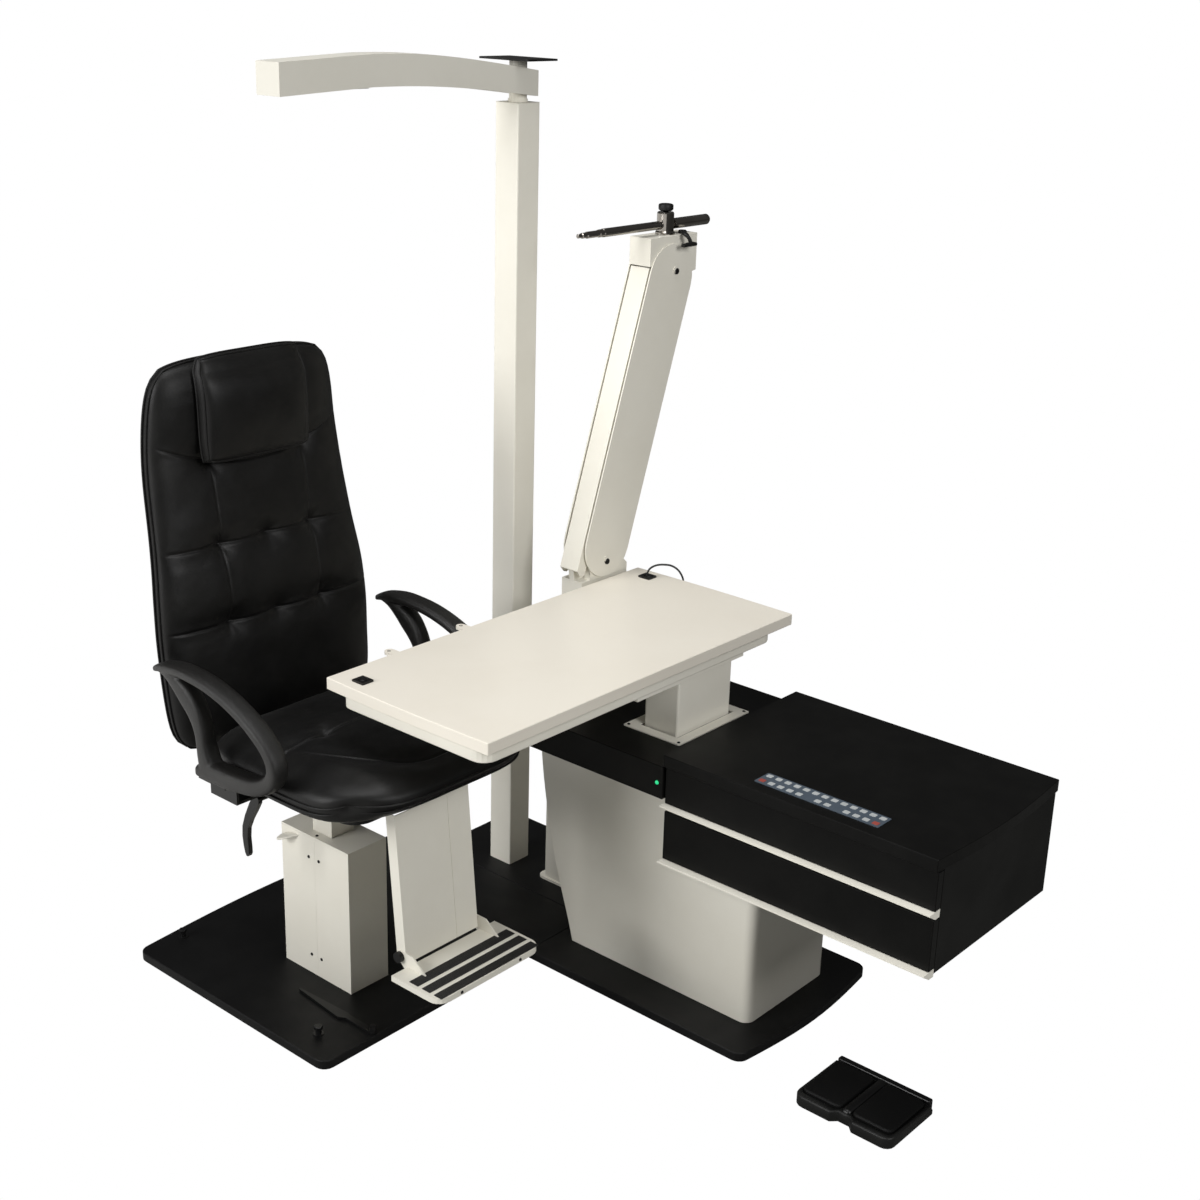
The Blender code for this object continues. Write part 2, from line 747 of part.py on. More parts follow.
def build_lamp_column():
    half = POLE_SIDE / 2
    floor = PLATE_THICKNESS + GAP
    pole = piece(
        "lamp_pole",
        prism(rectangle(-half, half, -half, half, POLE_CORNER, 2), floor, POLE_TOP),
        "cream_paint",
    )
    inner = half - POLE_WALL
    cut(pole, block((-inner, inner), (-inner, inner), (floor - OVERRUN, POLE_TOP + OVERRUN)), "bore")

    fit = inner - GAP
    top = POLE_TOP + BUSH_LIP
    bush = piece(
        "lamp_pole_bush",
        block((-fit, fit), (-fit, fit), (POLE_TOP - BUSH_DEPTH, POLE_TOP + GAP)),
        "cream_paint",
    )
    lip = block((-half, half), (-half, half), (POLE_TOP + GAP, top))
    weld(bush, lip, "lip")
    bore = SPINDLE_RADIUS + PIN_CLEARANCE
    cut(bush, drum((0, 0), bore, POLE_TOP - BUSH_DEPTH - OVERRUN, top + OVERRUN), "bore")

    pivot = hub("lamp_arm_pivot", (0, 0, POLE_TOP))
    outline = lamp_arm_outline()
    count = len(outline) // 2
    under, over = outline[:count], outline[count:][::-1]
    wide = LAMP_ARM_WIDTH / 2
    arm = piece(
        "lamp_arm", prism(outline, -wide, wide, "X"), "cream_paint", on=pivot, smooth=True
    )
    seat = under[0][1] + SPINDLE_SEAT
    cut(arm, drum((0, 0), bore, under[0][1] - OVERRUN, seat + GAP), "spindle_seat")
    post_top = over[0][1] + PROJECTOR_POST_HEIGHT
    weld(arm, drum((0, 0), SPINDLE_RADIUS, over[0][1] - SPINDLE_SEAT, post_top), "post")

    collar = POLE_TOP + BUSH_LIP + GAP
    spindle = turned(
        [
            (0, POLE_TOP - BUSH_DEPTH),
            (SPINDLE_RADIUS, POLE_TOP - BUSH_DEPTH),
            (SPINDLE_RADIUS, collar),
            (SPINDLE_COLLAR, collar),
            (SPINDLE_COLLAR, collar + SPINDLE_COLLAR_THICKNESS - GAP),
            (SPINDLE_RADIUS, collar + SPINDLE_COLLAR_THICKNESS - GAP),
            (SPINDLE_RADIUS, seat),
            (0, seat),
        ],
        (0, 0, 0),
    )
    piece("lamp_spindle", spindle, "cream_paint", on=pivot, smooth=True)

    head_start = -LAMP_ARM_REACH + LAMP_LENS_RIM
    head_end = -LAMP_ARM_REACH + LAMP_HEAD_LENGTH
    wall = wide - LAMP_LENS_RIM
    low = min(z for y, z in under if y <= head_end)
    cut(
        arm,
        block((-wall, wall), (head_start, head_end), (low - OVERRUN, low + LAMP_LENS_POCKET)),
        "lens_pocket",
    )
    lens_top = low + LAMP_LENS_POCKET - GAP
    piece(
        "lamp_lens",
        block(
            (-wall + GAP, wall - GAP),
            (head_start + GAP, head_end - GAP),
            (lens_top - LAMP_LENS_THICKNESS, lens_top),
        ),
        "lamp_lens",
        on=pivot,
    )

    plate_pivot = hub("projector_pivot", (0, 0, post_top), pivot)
    long, broad = PROJECTOR_PLATE_LENGTH / 2, PROJECTOR_PLATE_WIDTH / 2
    plate = prism(
        rectangle(-long, long, -broad, broad, PROJECTOR_PLATE_THICKNESS, 2),
        post_top + GAP,
        post_top + GAP + PROJECTOR_PLATE_THICKNESS,
    )
    piece("projector_plate", plate, "black_steel", on=plate_pivot)


# Chair column


def cover_outline(side):
    """Plan of one half of the column's cover: a tray of sheet that meets its twin at the seam."""
    reach = COVER_LENGTH / 2
    half = COVER_WIDTH / 2
    seam = side * GAP / 2
    inner = half - COVER_WALL
    end = side * reach
    back = side * (reach - COVER_WALL)
    flat = [(seam, half), (end, half), (end, -half), (seam, -half)]
    hollow = [(seam, -inner), (back, -inner), (back, inner), (seam, inner)]
    return [(CHAIR_X + a, CHAIR_Y + b) for a, b in flat + hollow]


def build_chair_column():
    floor = PLATE_THICKNESS + GAP
    cover_top = PLATE_THICKNESS + COVER_HEIGHT
    for name, side in (("column_cover_rear", -1), ("column_cover_front", 1)):
        piece(name, prism(cover_outline(side), floor, cover_top), "cream_paint")
    reach, half = COVER_LENGTH / 2, COVER_WIDTH / 2
    cap_top = cover_top + GAP + CAP_THICKNESS
    cap = piece(
        "column_cap",
        block(
            (CHAIR_X - reach, CHAIR_X + reach),
            (CHAIR_Y - half, CHAIR_Y + half),
            (cover_top + GAP, cap_top),
        ),
        "cream_paint",
    )
    mast = MAST_SIDE / 2
    opening = mast + MAST_CLEARANCE
    cut(
        cap,
        block(
            (CHAIR_X - opening, CHAIR_X + opening),
            (CHAIR_Y - opening, CHAIR_Y + opening),
            (cover_top - OVERRUN, cap_top + OVERRUN),
        ),
        "mast_opening",
    )

    outer = opening + GUIDE_WALL
    guide = piece(
        "chair_lift_guide",
        block(
            (CHAIR_X - outer, CHAIR_X + outer),
            (CHAIR_Y - outer, CHAIR_Y + outer),
            (floor, cover_top),
        ),
        "bright_steel",
    )
    cut(
        guide,
        block(
            (CHAIR_X - opening, CHAIR_X + opening),
            (CHAIR_Y - opening, CHAIR_Y + opening),
            (floor - OVERRUN, cover_top + OVERRUN),
        ),
        "bore",
    )

    lift = hub("chair_lift", (CHAIR_X, CHAIR_Y, cover_top))
    head_top = MECHANISM_BOTTOM - GAP
    head = head_top - MAST_HEAD
    post = piece(
        "chair_mast",
        block(
            (CHAIR_X - mast, CHAIR_X + mast), (CHAIR_Y - mast, CHAIR_Y + mast), (MAST_FOOT, head)
        ),
        "bright_steel",
        on=lift,
    )
    inner = mast - MAST_WALL
    cut(
        post,
        block(
            (CHAIR_X - inner, CHAIR_X + inner),
            (CHAIR_Y - inner, CHAIR_Y + inner),
            (MAST_FOOT - OVERRUN, head - MAST_WALL),
        ),
        "bore",
    )
    weld(
        post,
        drum((CHAIR_X, CHAIR_Y), MAST_HEAD_RADIUS, head - GAP, head_top),
        "swivel_head",
    )

    root = mast + SWIVEL_LEVER_WIDTH * 0.38
    turn = math.radians(SWIVEL_LEVER_TURN)
    start = Vector((CHAIR_X - root, CHAIR_Y - root))
    base = cap_top + GAP
    lever_pivot = hub("swivel_lever_pivot", (start.x, start.y, base))
    thick = SWIVEL_LEVER_THICKNESS
    profile = [
        (-SWIVEL_LEVER_WIDTH * 0.4, base),
        (SWIVEL_LEVER_REACH, base),
        (SWIVEL_LEVER_REACH + SWIVEL_LEVER_DROP * 0.25, base - SWIVEL_LEVER_DROP),
        (SWIVEL_LEVER_REACH + SWIVEL_LEVER_DROP * 0.25 + thick, base - SWIVEL_LEVER_DROP),
        (SWIVEL_LEVER_REACH + thick * 1.4, base + thick),
        (-SWIVEL_LEVER_WIDTH * 0.4, base + thick),
    ]
    wide = SWIVEL_LEVER_WIDTH / 2
    strip = prism(profile, -wide, wide, "Y")
    bmesh.ops.rotate(strip, verts=strip.verts, matrix=Matrix.Rotation(turn, 3, "Z"))
    shift = (start.x, start.y, 0)
    bmesh.ops.translate(strip, verts=strip.verts, vec=shift)
    piece("swivel_lock_lever", strip, "cream_paint", on=lever_pivot)
    return lift


# Chair


def build_mechanism(seat):
    """A pressed housing with two ears behind it for the recline pin."""
    low, high = MECHANISM_BOTTOM, MECHANISM_BOTTOM + MECHANISM_HEIGHT
    back = CHAIR_X - MECHANISM_LENGTH * 0.44
    front = back + MECHANISM_LENGTH
    rise = MECHANISM_HEIGHT * 0.35
    ear = RECLINE_X - MECHANISM_EAR
    outline = filleted(
        [
            (ear, RECLINE_Z - MECHANISM_EAR, MECHANISM_EAR * 0.6),
            (back + MECHANISM_EAR, low, MECHANISM_EAR * 0.5),
            (front - rise, low, MECHANISM_EAR * 0.5),
            (front, low + rise, MECHANISM_EAR * 0.5),
            (front, high, 0),
            (back, high, 0),
            (ear, RECLINE_Z + MECHANISM_EAR, MECHANISM_EAR * 0.6),
        ],
        3,
    )
    half = MECHANISM_WIDTH / 2
    housing = piece(
        "tilt_mechanism",
        prism(outline, CHAIR_Y - half, CHAIR_Y + half, "Y"),
        "black_steel",
        on=seat,
    )
    slot = BACK_BAR_WIDTH / 2 + GAP
    cut(
        housing,
        block(
            (ear - OVERRUN, RECLINE_X + MECHANISM_EAR * 1.2),
            (CHAIR_Y - slot, CHAIR_Y + slot),
            (low - OVERRUN, high + OVERRUN),
        ),
        "bar_slot",
    )
    cut(
        housing,
        drum(
            (RECLINE_X, RECLINE_Z),
            RECLINE_PIN + PIN_CLEARANCE,
            CHAIR_Y - half - OVERRUN,
            CHAIR_Y + half + OVERRUN,
            "Y",
            24,
        ),
        "pin_hole",
    )
    reach = RECLINE_PIN_LENGTH / 2
    piece(
        "recline_pin",
        drum((RECLINE_X, RECLINE_Z), RECLINE_PIN, CHAIR_Y - reach, CHAIR_Y + reach, "Y", 24),
        "bright_steel",
        on=seat,
        smooth=True,
    )
    return high


def build_seat(seat, mechanism_top):
    pan_low = mechanism_top + GAP
    pan_high = pan_low + PAN_THICKNESS
    half = SEAT_WIDTH / 2 - PAN_MARGIN
    outline = rectangle(
        PAN_BACK, PAN_BACK + PAN_LENGTH, CHAIR_Y - half, CHAIR_Y + half, PAN_CORNER
    )
    piece("seat_pan", prism(outline, pan_low, pan_high), "black_plastic", on=seat)

    middle = (SEAT_BACK + SEAT_FRONT) / 2
    reach = (SEAT_FRONT - SEAT_BACK) / 2
    wide = SEAT_WIDTH / 2
    underside = pan_high + GAP
    front_share, side_share = 0.52, 0.16
    channel_shares = [(-0.12, 0.05), (0.42, 0.16)]

    def place(u, v, side):
        taper = 1 - (front_share if v > 0 else side_share) * abs(u) ** 4 * abs(v)
        narrow = 1 - side_share * abs(v) ** 4 * abs(u)
        fore, out = v * math.sqrt(taper), u * narrow
        x, y = middle + reach * fore, CHAIR_Y + wide * out
        if side < 0:
            full = swell(u, 8, 0.35) * swell(v, 8, 0.35)
            return x, y, SEAT_SEAM + (underside - SEAT_SEAM) * full
        full = swell(u, 5, 0.42) * swell(v, 5, 0.42)
        crown = SEAT_CROWN * (1 - u * u) * (1 - v * v)
        z = SEAT_SEAM + (SEAT_TOP - SEAT_CROWN - SEAT_SEAM) * full + crown
        for share, bow in channel_shares:
            line = share + bow * (1 - (u * 1.2) ** 2)
            z -= SEAT_CHANNEL_DEPTH * dent((v - line) * reach, SEAT_CHANNEL_WIDTH) * swell(u, 6, 1)
        return x, y, z

    piece("seat_cushion", cushion(22, 24, place), "black_leather", on=seat, smooth=True)


def back_plan():
    """Where the back's middle surface, half width and thickness lie at a share of its height."""
    depth_shares = [(0.0, 0.0), (0.34, 0.0), (0.52, 0.42), (0.76, 1.0), (1.0, 0.60)]
    width_shares = [(0.0, 0.965), (0.25, 0.99), (0.37, 1.0), (0.50, 0.935), (0.76, 0.898), (1.0, 0.80)]

    def middle(share):
        return BACK_FOOT_X - BACK_LEAN * blend_along(depth_shares, share)

    def half_width(share):
        return BACK_WIDTH / 2 * blend_along(width_shares, share)

    return middle, half_width


def back_places():
    """The surface of the backrest cushion as a function of u, v and side, and its front."""
    middle, half_width = back_plan()
    centre, reach = (BACK_BOTTOM + BACK_TOP) / 2, (BACK_TOP - BACK_BOTTOM) / 2
    top_share, bottom_share = 0.40, 0.14
    channel_shares = [(0.465, 0.150), (0.07, 0.0), (-0.335, 0.0)]

    def round_end(u, v):
        drawn = (top_share if v > 0 else bottom_share) * abs(u) ** 4 * abs(v)
        return v * math.sqrt(1 - drawn)

    def surface(u, v, side, sewn=True):
        up = round_end(u, v)
        z = centre + reach * up
        share = (z - BACK_BOTTOM) / (BACK_TOP - BACK_BOTTOM)
        y = u * half_width(share) * (1 - 0.10 * abs(v) ** 6 * abs(u))
        full = swell(u, 6, 0.40) * swell(v, 10, 0.40)
        if side < 0:
            return middle(share) - BACK_REAR_THICKNESS * full, y, z
        crown = 1 - 0.16 * u * u
        x = middle(share) + BACK_FRONT_THICKNESS * full * crown
        if not sewn:
            return x, y, z
        for line, rise in channel_shares:
            bend = line + rise * u * u
            x -= BACK_CHANNEL_DEPTH * dent((v - bend) * reach, BACK_CHANNEL_WIDTH) * swell(u, 8, 1)
        for line in (0.07, -0.335):
            for place in (-1, 0, 1):
                away = math.hypot(y - place * TUFT_SPACING, (v - line) * reach)
                x -= TUFT_DEPTH * dent(away, TUFT_WIDTH)
        return x, y, z

    def front(y, z):
        share = (z - BACK_BOTTOM) / (BACK_TOP - BACK_BOTTOM)
        u = min(0.96, max(-0.96, y / half_width(share)))
        v = (z - centre) / reach
        for _ in range(4):
            drawn = (top_share if v > 0 else bottom_share) * abs(u) ** 4 * abs(v)
            v = (z - centre) / reach / math.sqrt(1 - drawn)
        v = min(0.96, max(-0.96, v))
        return surface(u, v, 1, sewn=False)[0]

    return surface, front


def build_backrest(seat):
    recline = hub("recline_axis", (RECLINE_X, CHAIR_Y, RECLINE_Z), seat)
    surface, front = back_places()

    def place(u, v, side):
        x, y, z = surface(u, v, side)
        return x, CHAIR_Y + y, z

    piece("backrest_cushion", cushion(22, 26, place), "black_leather", on=recline, smooth=True)

    reach = PILLOW_HEIGHT / 2
    centre = BACK_TOP + PILLOW_OVER - reach
    wide = PILLOW_WIDTH / 2

    def pillow(u, v, side):
        y = u * wide * (1 - 0.07 * abs(v) ** 4 * abs(u))
        z = centre + v * reach * (1 - 0.07 * abs(u) ** 4 * abs(v))
        seat_on = front(y, z) + PILLOW_RELIEF
        thick = PILLOW_THICKNESS * (0.34 + 0.66 * swell(u, 4, 0.5) * swell(v, 4, 0.5))
        edge = PILLOW_THICKNESS * 0.34 * 0.5
        if side < 0:
            return seat_on + edge * (1 - swell(u, 8, 0.4) * swell(v, 8, 0.4)), CHAIR_Y + y, z
        return seat_on + edge + (thick - edge) * swell(u, 6, 0.4) * swell(v, 6, 0.4), CHAIR_Y + y, z

    piece("headrest_pillow", cushion(12, 12, pillow), "black_leather", on=recline, smooth=True)

    rear_x = BACK_FOOT_X - BACK_REAR_THICKNESS - GAP
    bar_top = BACK_BOTTOM + (BACK_TOP - BACK_BOTTOM) * BACK_BAR_SHARE
    thick = BACK_BAR_THICKNESS
    low = RECLINE_Z - thick / 2
    outline = filleted(
        [
            (RECLINE_X + thick, low, 0),
            (RECLINE_X + thick, low + thick, 0),
            (rear_x, low + thick, thick * 2),
            (rear_x, bar_top, 0),
            (rear_x - thick, bar_top, 0),
            (rear_x - thick, low, thick * 3),
        ],
        4,
    )
    half = BACK_BAR_WIDTH / 2
    bar = piece(
        "back_bar", prism(outline, CHAIR_Y - half, CHAIR_Y + half, "Y"), "black_steel", on=recline
    )
    span = (CHAIR_Y - half, CHAIR_Y + half)
    weld(bar, drum((RECLINE_X, RECLINE_Z), BACK_BAR_EYE, *span, "Y", 24), "eye")
    run = (span[0] - OVERRUN, span[1] + OVERRUN)
    cut(bar, drum((RECLINE_X, RECLINE_Z), RECLINE_PIN + PIN_CLEARANCE, *run, "Y", 24), "pin_hole")


def build_armrests(seat, pan_low):
    outer_shares = [
        (0.000, 0.760), (0.080, 0.850), (0.220, 0.950), (0.480, 1.000), (0.700, 0.920),
        (0.850, 0.770), (0.955, 0.590), (1.000, 0.440), (0.957, 0.265), (0.827, 0.092),
        (0.640, 0.005), (0.470, 0.000), (0.345, 0.060), (0.285, 0.260), (0.215, 0.480),
        (0.120, 0.665),
    ]
    opening_shares = [
        (0.350, 0.780), (0.520, 0.825), (0.672, 0.710), (0.755, 0.510), (0.725, 0.285),
        (0.600, 0.160), (0.475, 0.175), (0.435, 0.300), (0.395, 0.520),
    ]

    def laid(shares):
        points = [
            (ARM_BACK + ARM_LENGTH * a, ARM_BOTTOM + ARM_HEIGHT * b, 0) for a, b in shares
        ]
        return [(p.x, max(p.y, ARM_BOTTOM)) for p in rounded_path(points, 2, closed=True)]

    arm_inner = SEAT_WIDTH / 2 + ARM_SIDE_GAP
    offset = arm_inner + ARM_THICKNESS / 2
    for name, side in (("armrest_near", -1), ("armrest_far", 1)):
        low = CHAIR_Y + side * offset - ARM_THICKNESS / 2
        high = low + ARM_THICKNESS
        arm = piece(name, prism(laid(outer_shares), low, high, "Y"), "black_plastic", on=seat)
        cut(arm, prism(laid(opening_shares), low - OVERRUN, high + OVERRUN, "Y"), "opening")
        soften(arm, ARM_ROUND, 1, 50)

    thick = BRACKET_THICKNESS
    top = pan_low - GAP
    low = top - thick
    under = ARM_BOTTOM - GAP * 2
    riser = arm_inner - thick / 2
    flange = arm_inner + ARM_THICKNESS * 0.7
    below = [(riser + thick, low), (riser + thick, under - thick), (flange, under - thick)]
    above = [(flange, under), (riser, under), (riser, top)]
    right = [(CHAIR_Y + a, b) for a, b in below + above]
    left = [(CHAIR_Y - a, b) for a, b in reversed(below + above)]
    start = BRACKET_X - BRACKET_LENGTH / 2
    strip = prism(right + left, start, start + BRACKET_LENGTH, "X")
    piece("armrest_crossbar", strip, "black_steel", on=seat)


def build_chair_levers(seat):
    """The recline lever and the tension knob reach out on shafts from the mechanism's side."""
    wall = CHAIR_Y - MECHANISM_WIDTH / 2 - GAP
    end = wall - LEVER_REACH
    lever_pivot = hub("recline_lever_pivot", (LEVER_X, end, LEVER_Z), seat)
    lever = piece(
        "recline_lever",
        drum((LEVER_X, LEVER_Z), LEVER_SHAFT, end, wall, "Y", 16),
        "black_plastic",
        on=lever_pivot,
    )
    wide = LEVER_WIDTH / 2
    middle_x, tip_x = LEVER_X - LEVER_SWEEP, LEVER_X - LEVER_SWEEP * 0.95
    middle_z, tip_z = LEVER_Z - LEVER_DROP * 0.55, LEVER_Z - LEVER_DROP
    side = [
        (LEVER_X + wide * 0.2, LEVER_Z + wide, 0),
        (LEVER_X - wide, LEVER_Z + wide * 0.4, 0),
        (middle_x - wide * 0.8, middle_z, 0),
        (tip_x - wide * 0.5, tip_z, 0),
        (tip_x + wide * 0.7, tip_z, 0),
        (middle_x + wide * 0.9, middle_z, 0),
        (LEVER_X + wide, LEVER_Z - wide * 0.4, 0),
    ]
    outline = [(p.x, p.y) for p in rounded_path(side, 3, closed=True)]
    thick = LEVER_THICKNESS / 2
    weld(lever, prism(outline, end - thick, end + thick, "Y"), "paddle")

    end = wall - KNOB_REACH
    knob_pivot = hub("tension_knob_pivot", (KNOB_X, end, KNOB_Z), seat)
    knob = turned(
        [
            (0, 0),
            (KNOB_SHAFT, 0),
            (KNOB_SHAFT, KNOB_REACH - KNOB_LENGTH),
            (KNOB_RADIUS * 0.8, KNOB_REACH - KNOB_LENGTH),
            (KNOB_RADIUS, KNOB_REACH - KNOB_LENGTH * 0.8),
            (KNOB_RADIUS, KNOB_REACH - KNOB_LENGTH * 0.2),
            (KNOB_RADIUS * 0.8, KNOB_REACH),
            (0, KNOB_REACH),
        ],
        (KNOB_X, wall, KNOB_Z),
        sides=24,
        along="Y",
    )
    bmesh.ops.rotate(
        knob, verts=knob.verts, cent=(KNOB_X, wall, KNOB_Z), matrix=Matrix.Rotation(math.pi, 3, "Z")
    )
    piece("tension_knob", knob, "black_plastic", on=knob_pivot, smooth=True)


def build_footrest(seat, pan_low):
    near, far = SUPPORT_NEAR, SUPPORT_NEAR + SUPPORT_WIDTH
    top = pan_low - GAP
    wall, deep = SUPPORT_WALL, SUPPORT_DEPTH
    seam = near + SUPPORT_WIDTH * SUPPORT_SEAM_SHARE
    groove = SUPPORT_GROOVE / 2
    section = [
        (-deep, near), (0, near),
        (0, seam - groove), (-groove, seam - groove), (-groove, seam + groove), (0, seam + groove),
        (0, far), (-deep, far),
        (-deep, far - wall), (-wall, far - wall), (-wall, near + wall), (-deep, near + wall),
    ]
    outline = [(SUPPORT_TOP_X + a, b) for a, b in section]
    channel = prism(outline, SUPPORT_BOTTOM, top)
    lean = (SUPPORT_BOTTOM_X - SUPPORT_TOP_X) / (top - SUPPORT_BOTTOM)
    for vert in channel.verts:
        vert.co.x += (top - vert.co.z) * lean
    support = piece("footrest_support", channel, "cream_paint", on=seat)
    bore = FOOT_PIN + PIN_CLEARANCE
    pivot_at = (FOOT_PIVOT_X, FOOT_PIVOT_Z)
    run = (near - OVERRUN, far + OVERRUN)
    cut(support, drum(pivot_at, bore, *run, "Y", 20), "pin_hole")

    ear = FOOT_EAR_THICKNESS
    pin_near = near - GAP - ear - GAP
    pin = turned(
        [
            (0, 0),
            (FOOT_PIN_HEAD, 0),
            (FOOT_PIN_HEAD, FOOT_PIN_HEAD_LENGTH),
            (FOOT_PIN, FOOT_PIN_HEAD_LENGTH),
            (FOOT_PIN, FOOT_PIN_HEAD_LENGTH + SUPPORT_WIDTH + (ear + GAP) * 2),
            (0, FOOT_PIN_HEAD_LENGTH + SUPPORT_WIDTH + (ear + GAP) * 2),
        ],
        (FOOT_PIVOT_X, pin_near - FOOT_PIN_HEAD_LENGTH, FOOT_PIVOT_Z),
        sides=20,
        along="Y",
    )
    piece("footrest_pin", pin, "black_steel", on=seat, smooth=True)

    fold = hub("footplate_pivot", (FOOT_PIVOT_X, CHAIR_Y, FOOT_PIVOT_Z), seat)
    left, right = FOOTPLATE_NEAR, FOOTPLATE_NEAR + FOOTPLATE_WIDTH
    outline = filleted(
        [
            (FOOTPLATE_BACK, left, 0),
            (FOOTPLATE_FRONT, left, FOOTPLATE_CORNER),
            (FOOTPLATE_FRONT, right, FOOTPLATE_CORNER),
            (FOOTPLATE_BACK, right, 0),
        ]
    )
    low = FOOTPLATE_TOP - FOOTPLATE_RIM
    plate = piece("footplate", prism(outline, low, FOOTPLATE_TOP), "cream_paint", on=fold)
    skin = FOOTPLATE_WALL
    hollow = filleted(
        [
            (FOOTPLATE_BACK + skin, left + skin, 0),
            (FOOTPLATE_FRONT - skin, left + skin, FOOTPLATE_CORNER - skin),
            (FOOTPLATE_FRONT - skin, right - skin, FOOTPLATE_CORNER - skin),
            (FOOTPLATE_BACK + skin, right - skin, 0),
        ]
    )
    cut(plate, prism(hollow, low - OVERRUN, FOOTPLATE_TOP - skin), "hollow")
    cheek = [
        (FOOTPLATE_BACK + FOOT_EAR_LENGTH, FOOTPLATE_TOP - skin / 2),
        (FOOTPLATE_BACK + FOOT_EAR_LENGTH * 0.3, FOOT_PIVOT_Z + FOOT_EAR_RADIUS),
        (FOOT_PIVOT_X - FOOT_EAR_RADIUS * 0.4, FOOT_PIVOT_Z + FOOT_EAR_RADIUS),
        (FOOT_PIVOT_X - FOOT_EAR_RADIUS, FOOT_PIVOT_Z + FOOT_EAR_RADIUS * 0.4),
        (FOOT_PIVOT_X - FOOT_EAR_RADIUS, FOOT_PIVOT_Z - FOOT_EAR_RADIUS * 0.4),
        (FOOTPLATE_BACK, low),
        (FOOTPLATE_BACK + FOOT_EAR_LENGTH, low),
    ]
    for name, start in (("near_ear", near - GAP - ear), ("far_ear", far + GAP)):
        weld(plate, prism(cheek, start, start + ear, "Y"), name)
    span = (near - GAP - ear - OVERRUN, far + GAP + ear + OVERRUN)
    cut(plate, drum(pivot_at, bore, *span, "Y", 20), "pin_hole")


# Console


def pedestal_outline(inset):
    """Side view of the pedestal: a swept left edge, and a step at the right for the carcass."""
    sweep_shares = [(0.0, 1.0), (0.10, 0.87), (0.28, 0.60), (0.48, 0.35), (0.70, 0.15), (0.88, 0.04), (1.0, 0.0)]
    low, high = PLATE_THICKNESS + GAP, DECK_BOTTOM - GAP - inset
    step_x = CARCASS_LEFT - GAP * 10 - inset
    step_z = CARCASS_BOTTOM - GAP - inset
    left = [
        (PEDESTAL_LEFT + PEDESTAL_SWEEP * b + inset, low + (high - low) * a)
        for a, b in sweep_shares
    ]
    path = [(p.x, p.y) for p in rounded_path([(a, b, 0) for a, b in left], 2)]
    right = PEDESTAL_RIGHT - inset
    return [(right, low), (right, step_z), (step_x, step_z), (step_x, high)] + path[::-1]


def build_pedestal():
    shell = piece(
        "pedestal_housing",
        prism(pedestal_outline(0.0), PEDESTAL_NEAR, PEDESTAL_FAR, "Y"),
        "cream_paint",
    )
    bevel = soften(shell, PEDESTAL_CORNER, 3, 75)
    bevel.modifiers["edges"].limit_method = "WEIGHT"
    mesh = shell.data
    weights = mesh.attributes.new("bevel_weight_edge", "FLOAT", "EDGE")
    for edge in mesh.edges:
        a, b = (mesh.vertices[i].co for i in edge.vertices)
        upright = abs(a.x - b.x) < GAP and abs(a.y - b.y) < GAP and abs(a.x - PEDESTAL_RIGHT) < GAP
        weights.data[edge.index].value = 1.0 if upright else 0.0
    inner = pedestal_outline(PEDESTAL_WALL)
    low = PLATE_THICKNESS + GAP
    inner = [(a, b - OVERRUN if b <= low + GAP else b) for a, b in inner]
    run = (PEDESTAL_NEAR + PEDESTAL_WALL, PEDESTAL_FAR - PEDESTAL_WALL)
    cut(shell, prism(inner, *run, "Y"), "hollow")
    x, y = table_column_plan(TABLE_CLEARANCE + TABLE_GUIDE_WALL + GAP)
    top = DECK_BOTTOM - GAP
    cut(shell, block(x, y, (top - PEDESTAL_WALL - OVERRUN, top + OVERRUN)), "column_opening")


def table_column_plan(margin=0.0):
    """The x and y spans of the table's lifting column, grown by a margin."""
    x = (TABLE_COLUMN_LEFT - margin, TABLE_COLUMN_LEFT + TABLE_COLUMN_LENGTH + margin)
    y = (TABLE_COLUMN_NEAR - margin, TABLE_COLUMN_NEAR + TABLE_COLUMN_WIDTH + margin)
    return x, y


def build_console():
    deck = piece(
        "console_deck",
        block((DECK_LEFT, DECK_RIGHT), (DECK_NEAR, DECK_FAR), (DECK_BOTTOM, DECK_TOP)),
        "black_laminate",
    )
    soften(deck, EDGE_ROUND)
    x, y = table_column_plan(TABLE_CLEARANCE + TABLE_GUIDE_WALL + GAP)
    cut(deck, block(x, y, (DECK_BOTTOM - OVERRUN, DECK_TOP + OVERRUN)), "column_opening")

    near, far = DECK_NEAR - GAP * 7, DECK_FAR
    left = DECK_RIGHT + GAP
    outline = [(left, near), (WORKTOP_RIGHT, near)]
    outline += bulged((WORKTOP_RIGHT, near), (WORKTOP_RIGHT, far), WORKTOP_BULGE)
    outline += [(WORKTOP_RIGHT, far), (left, far)]
    top = piece("console_worktop", prism(outline, WORKTOP_BOTTOM, WORKTOP_TOP), "black_laminate")
    soften(top, EDGE_ROUND)

    low = WORKTOP_TOP + GAP
    keypad = rectangle(
        KEYPAD_LEFT,
        KEYPAD_LEFT + KEYPAD_LENGTH,
        KEYPAD_NEAR,
        KEYPAD_NEAR + KEYPAD_WIDTH,
        KEYPAD_THICKNESS * 2,
        3,
    )
    piece("keypad_panel", prism(keypad, low, low + KEYPAD_THICKNESS), "keypad_slate")


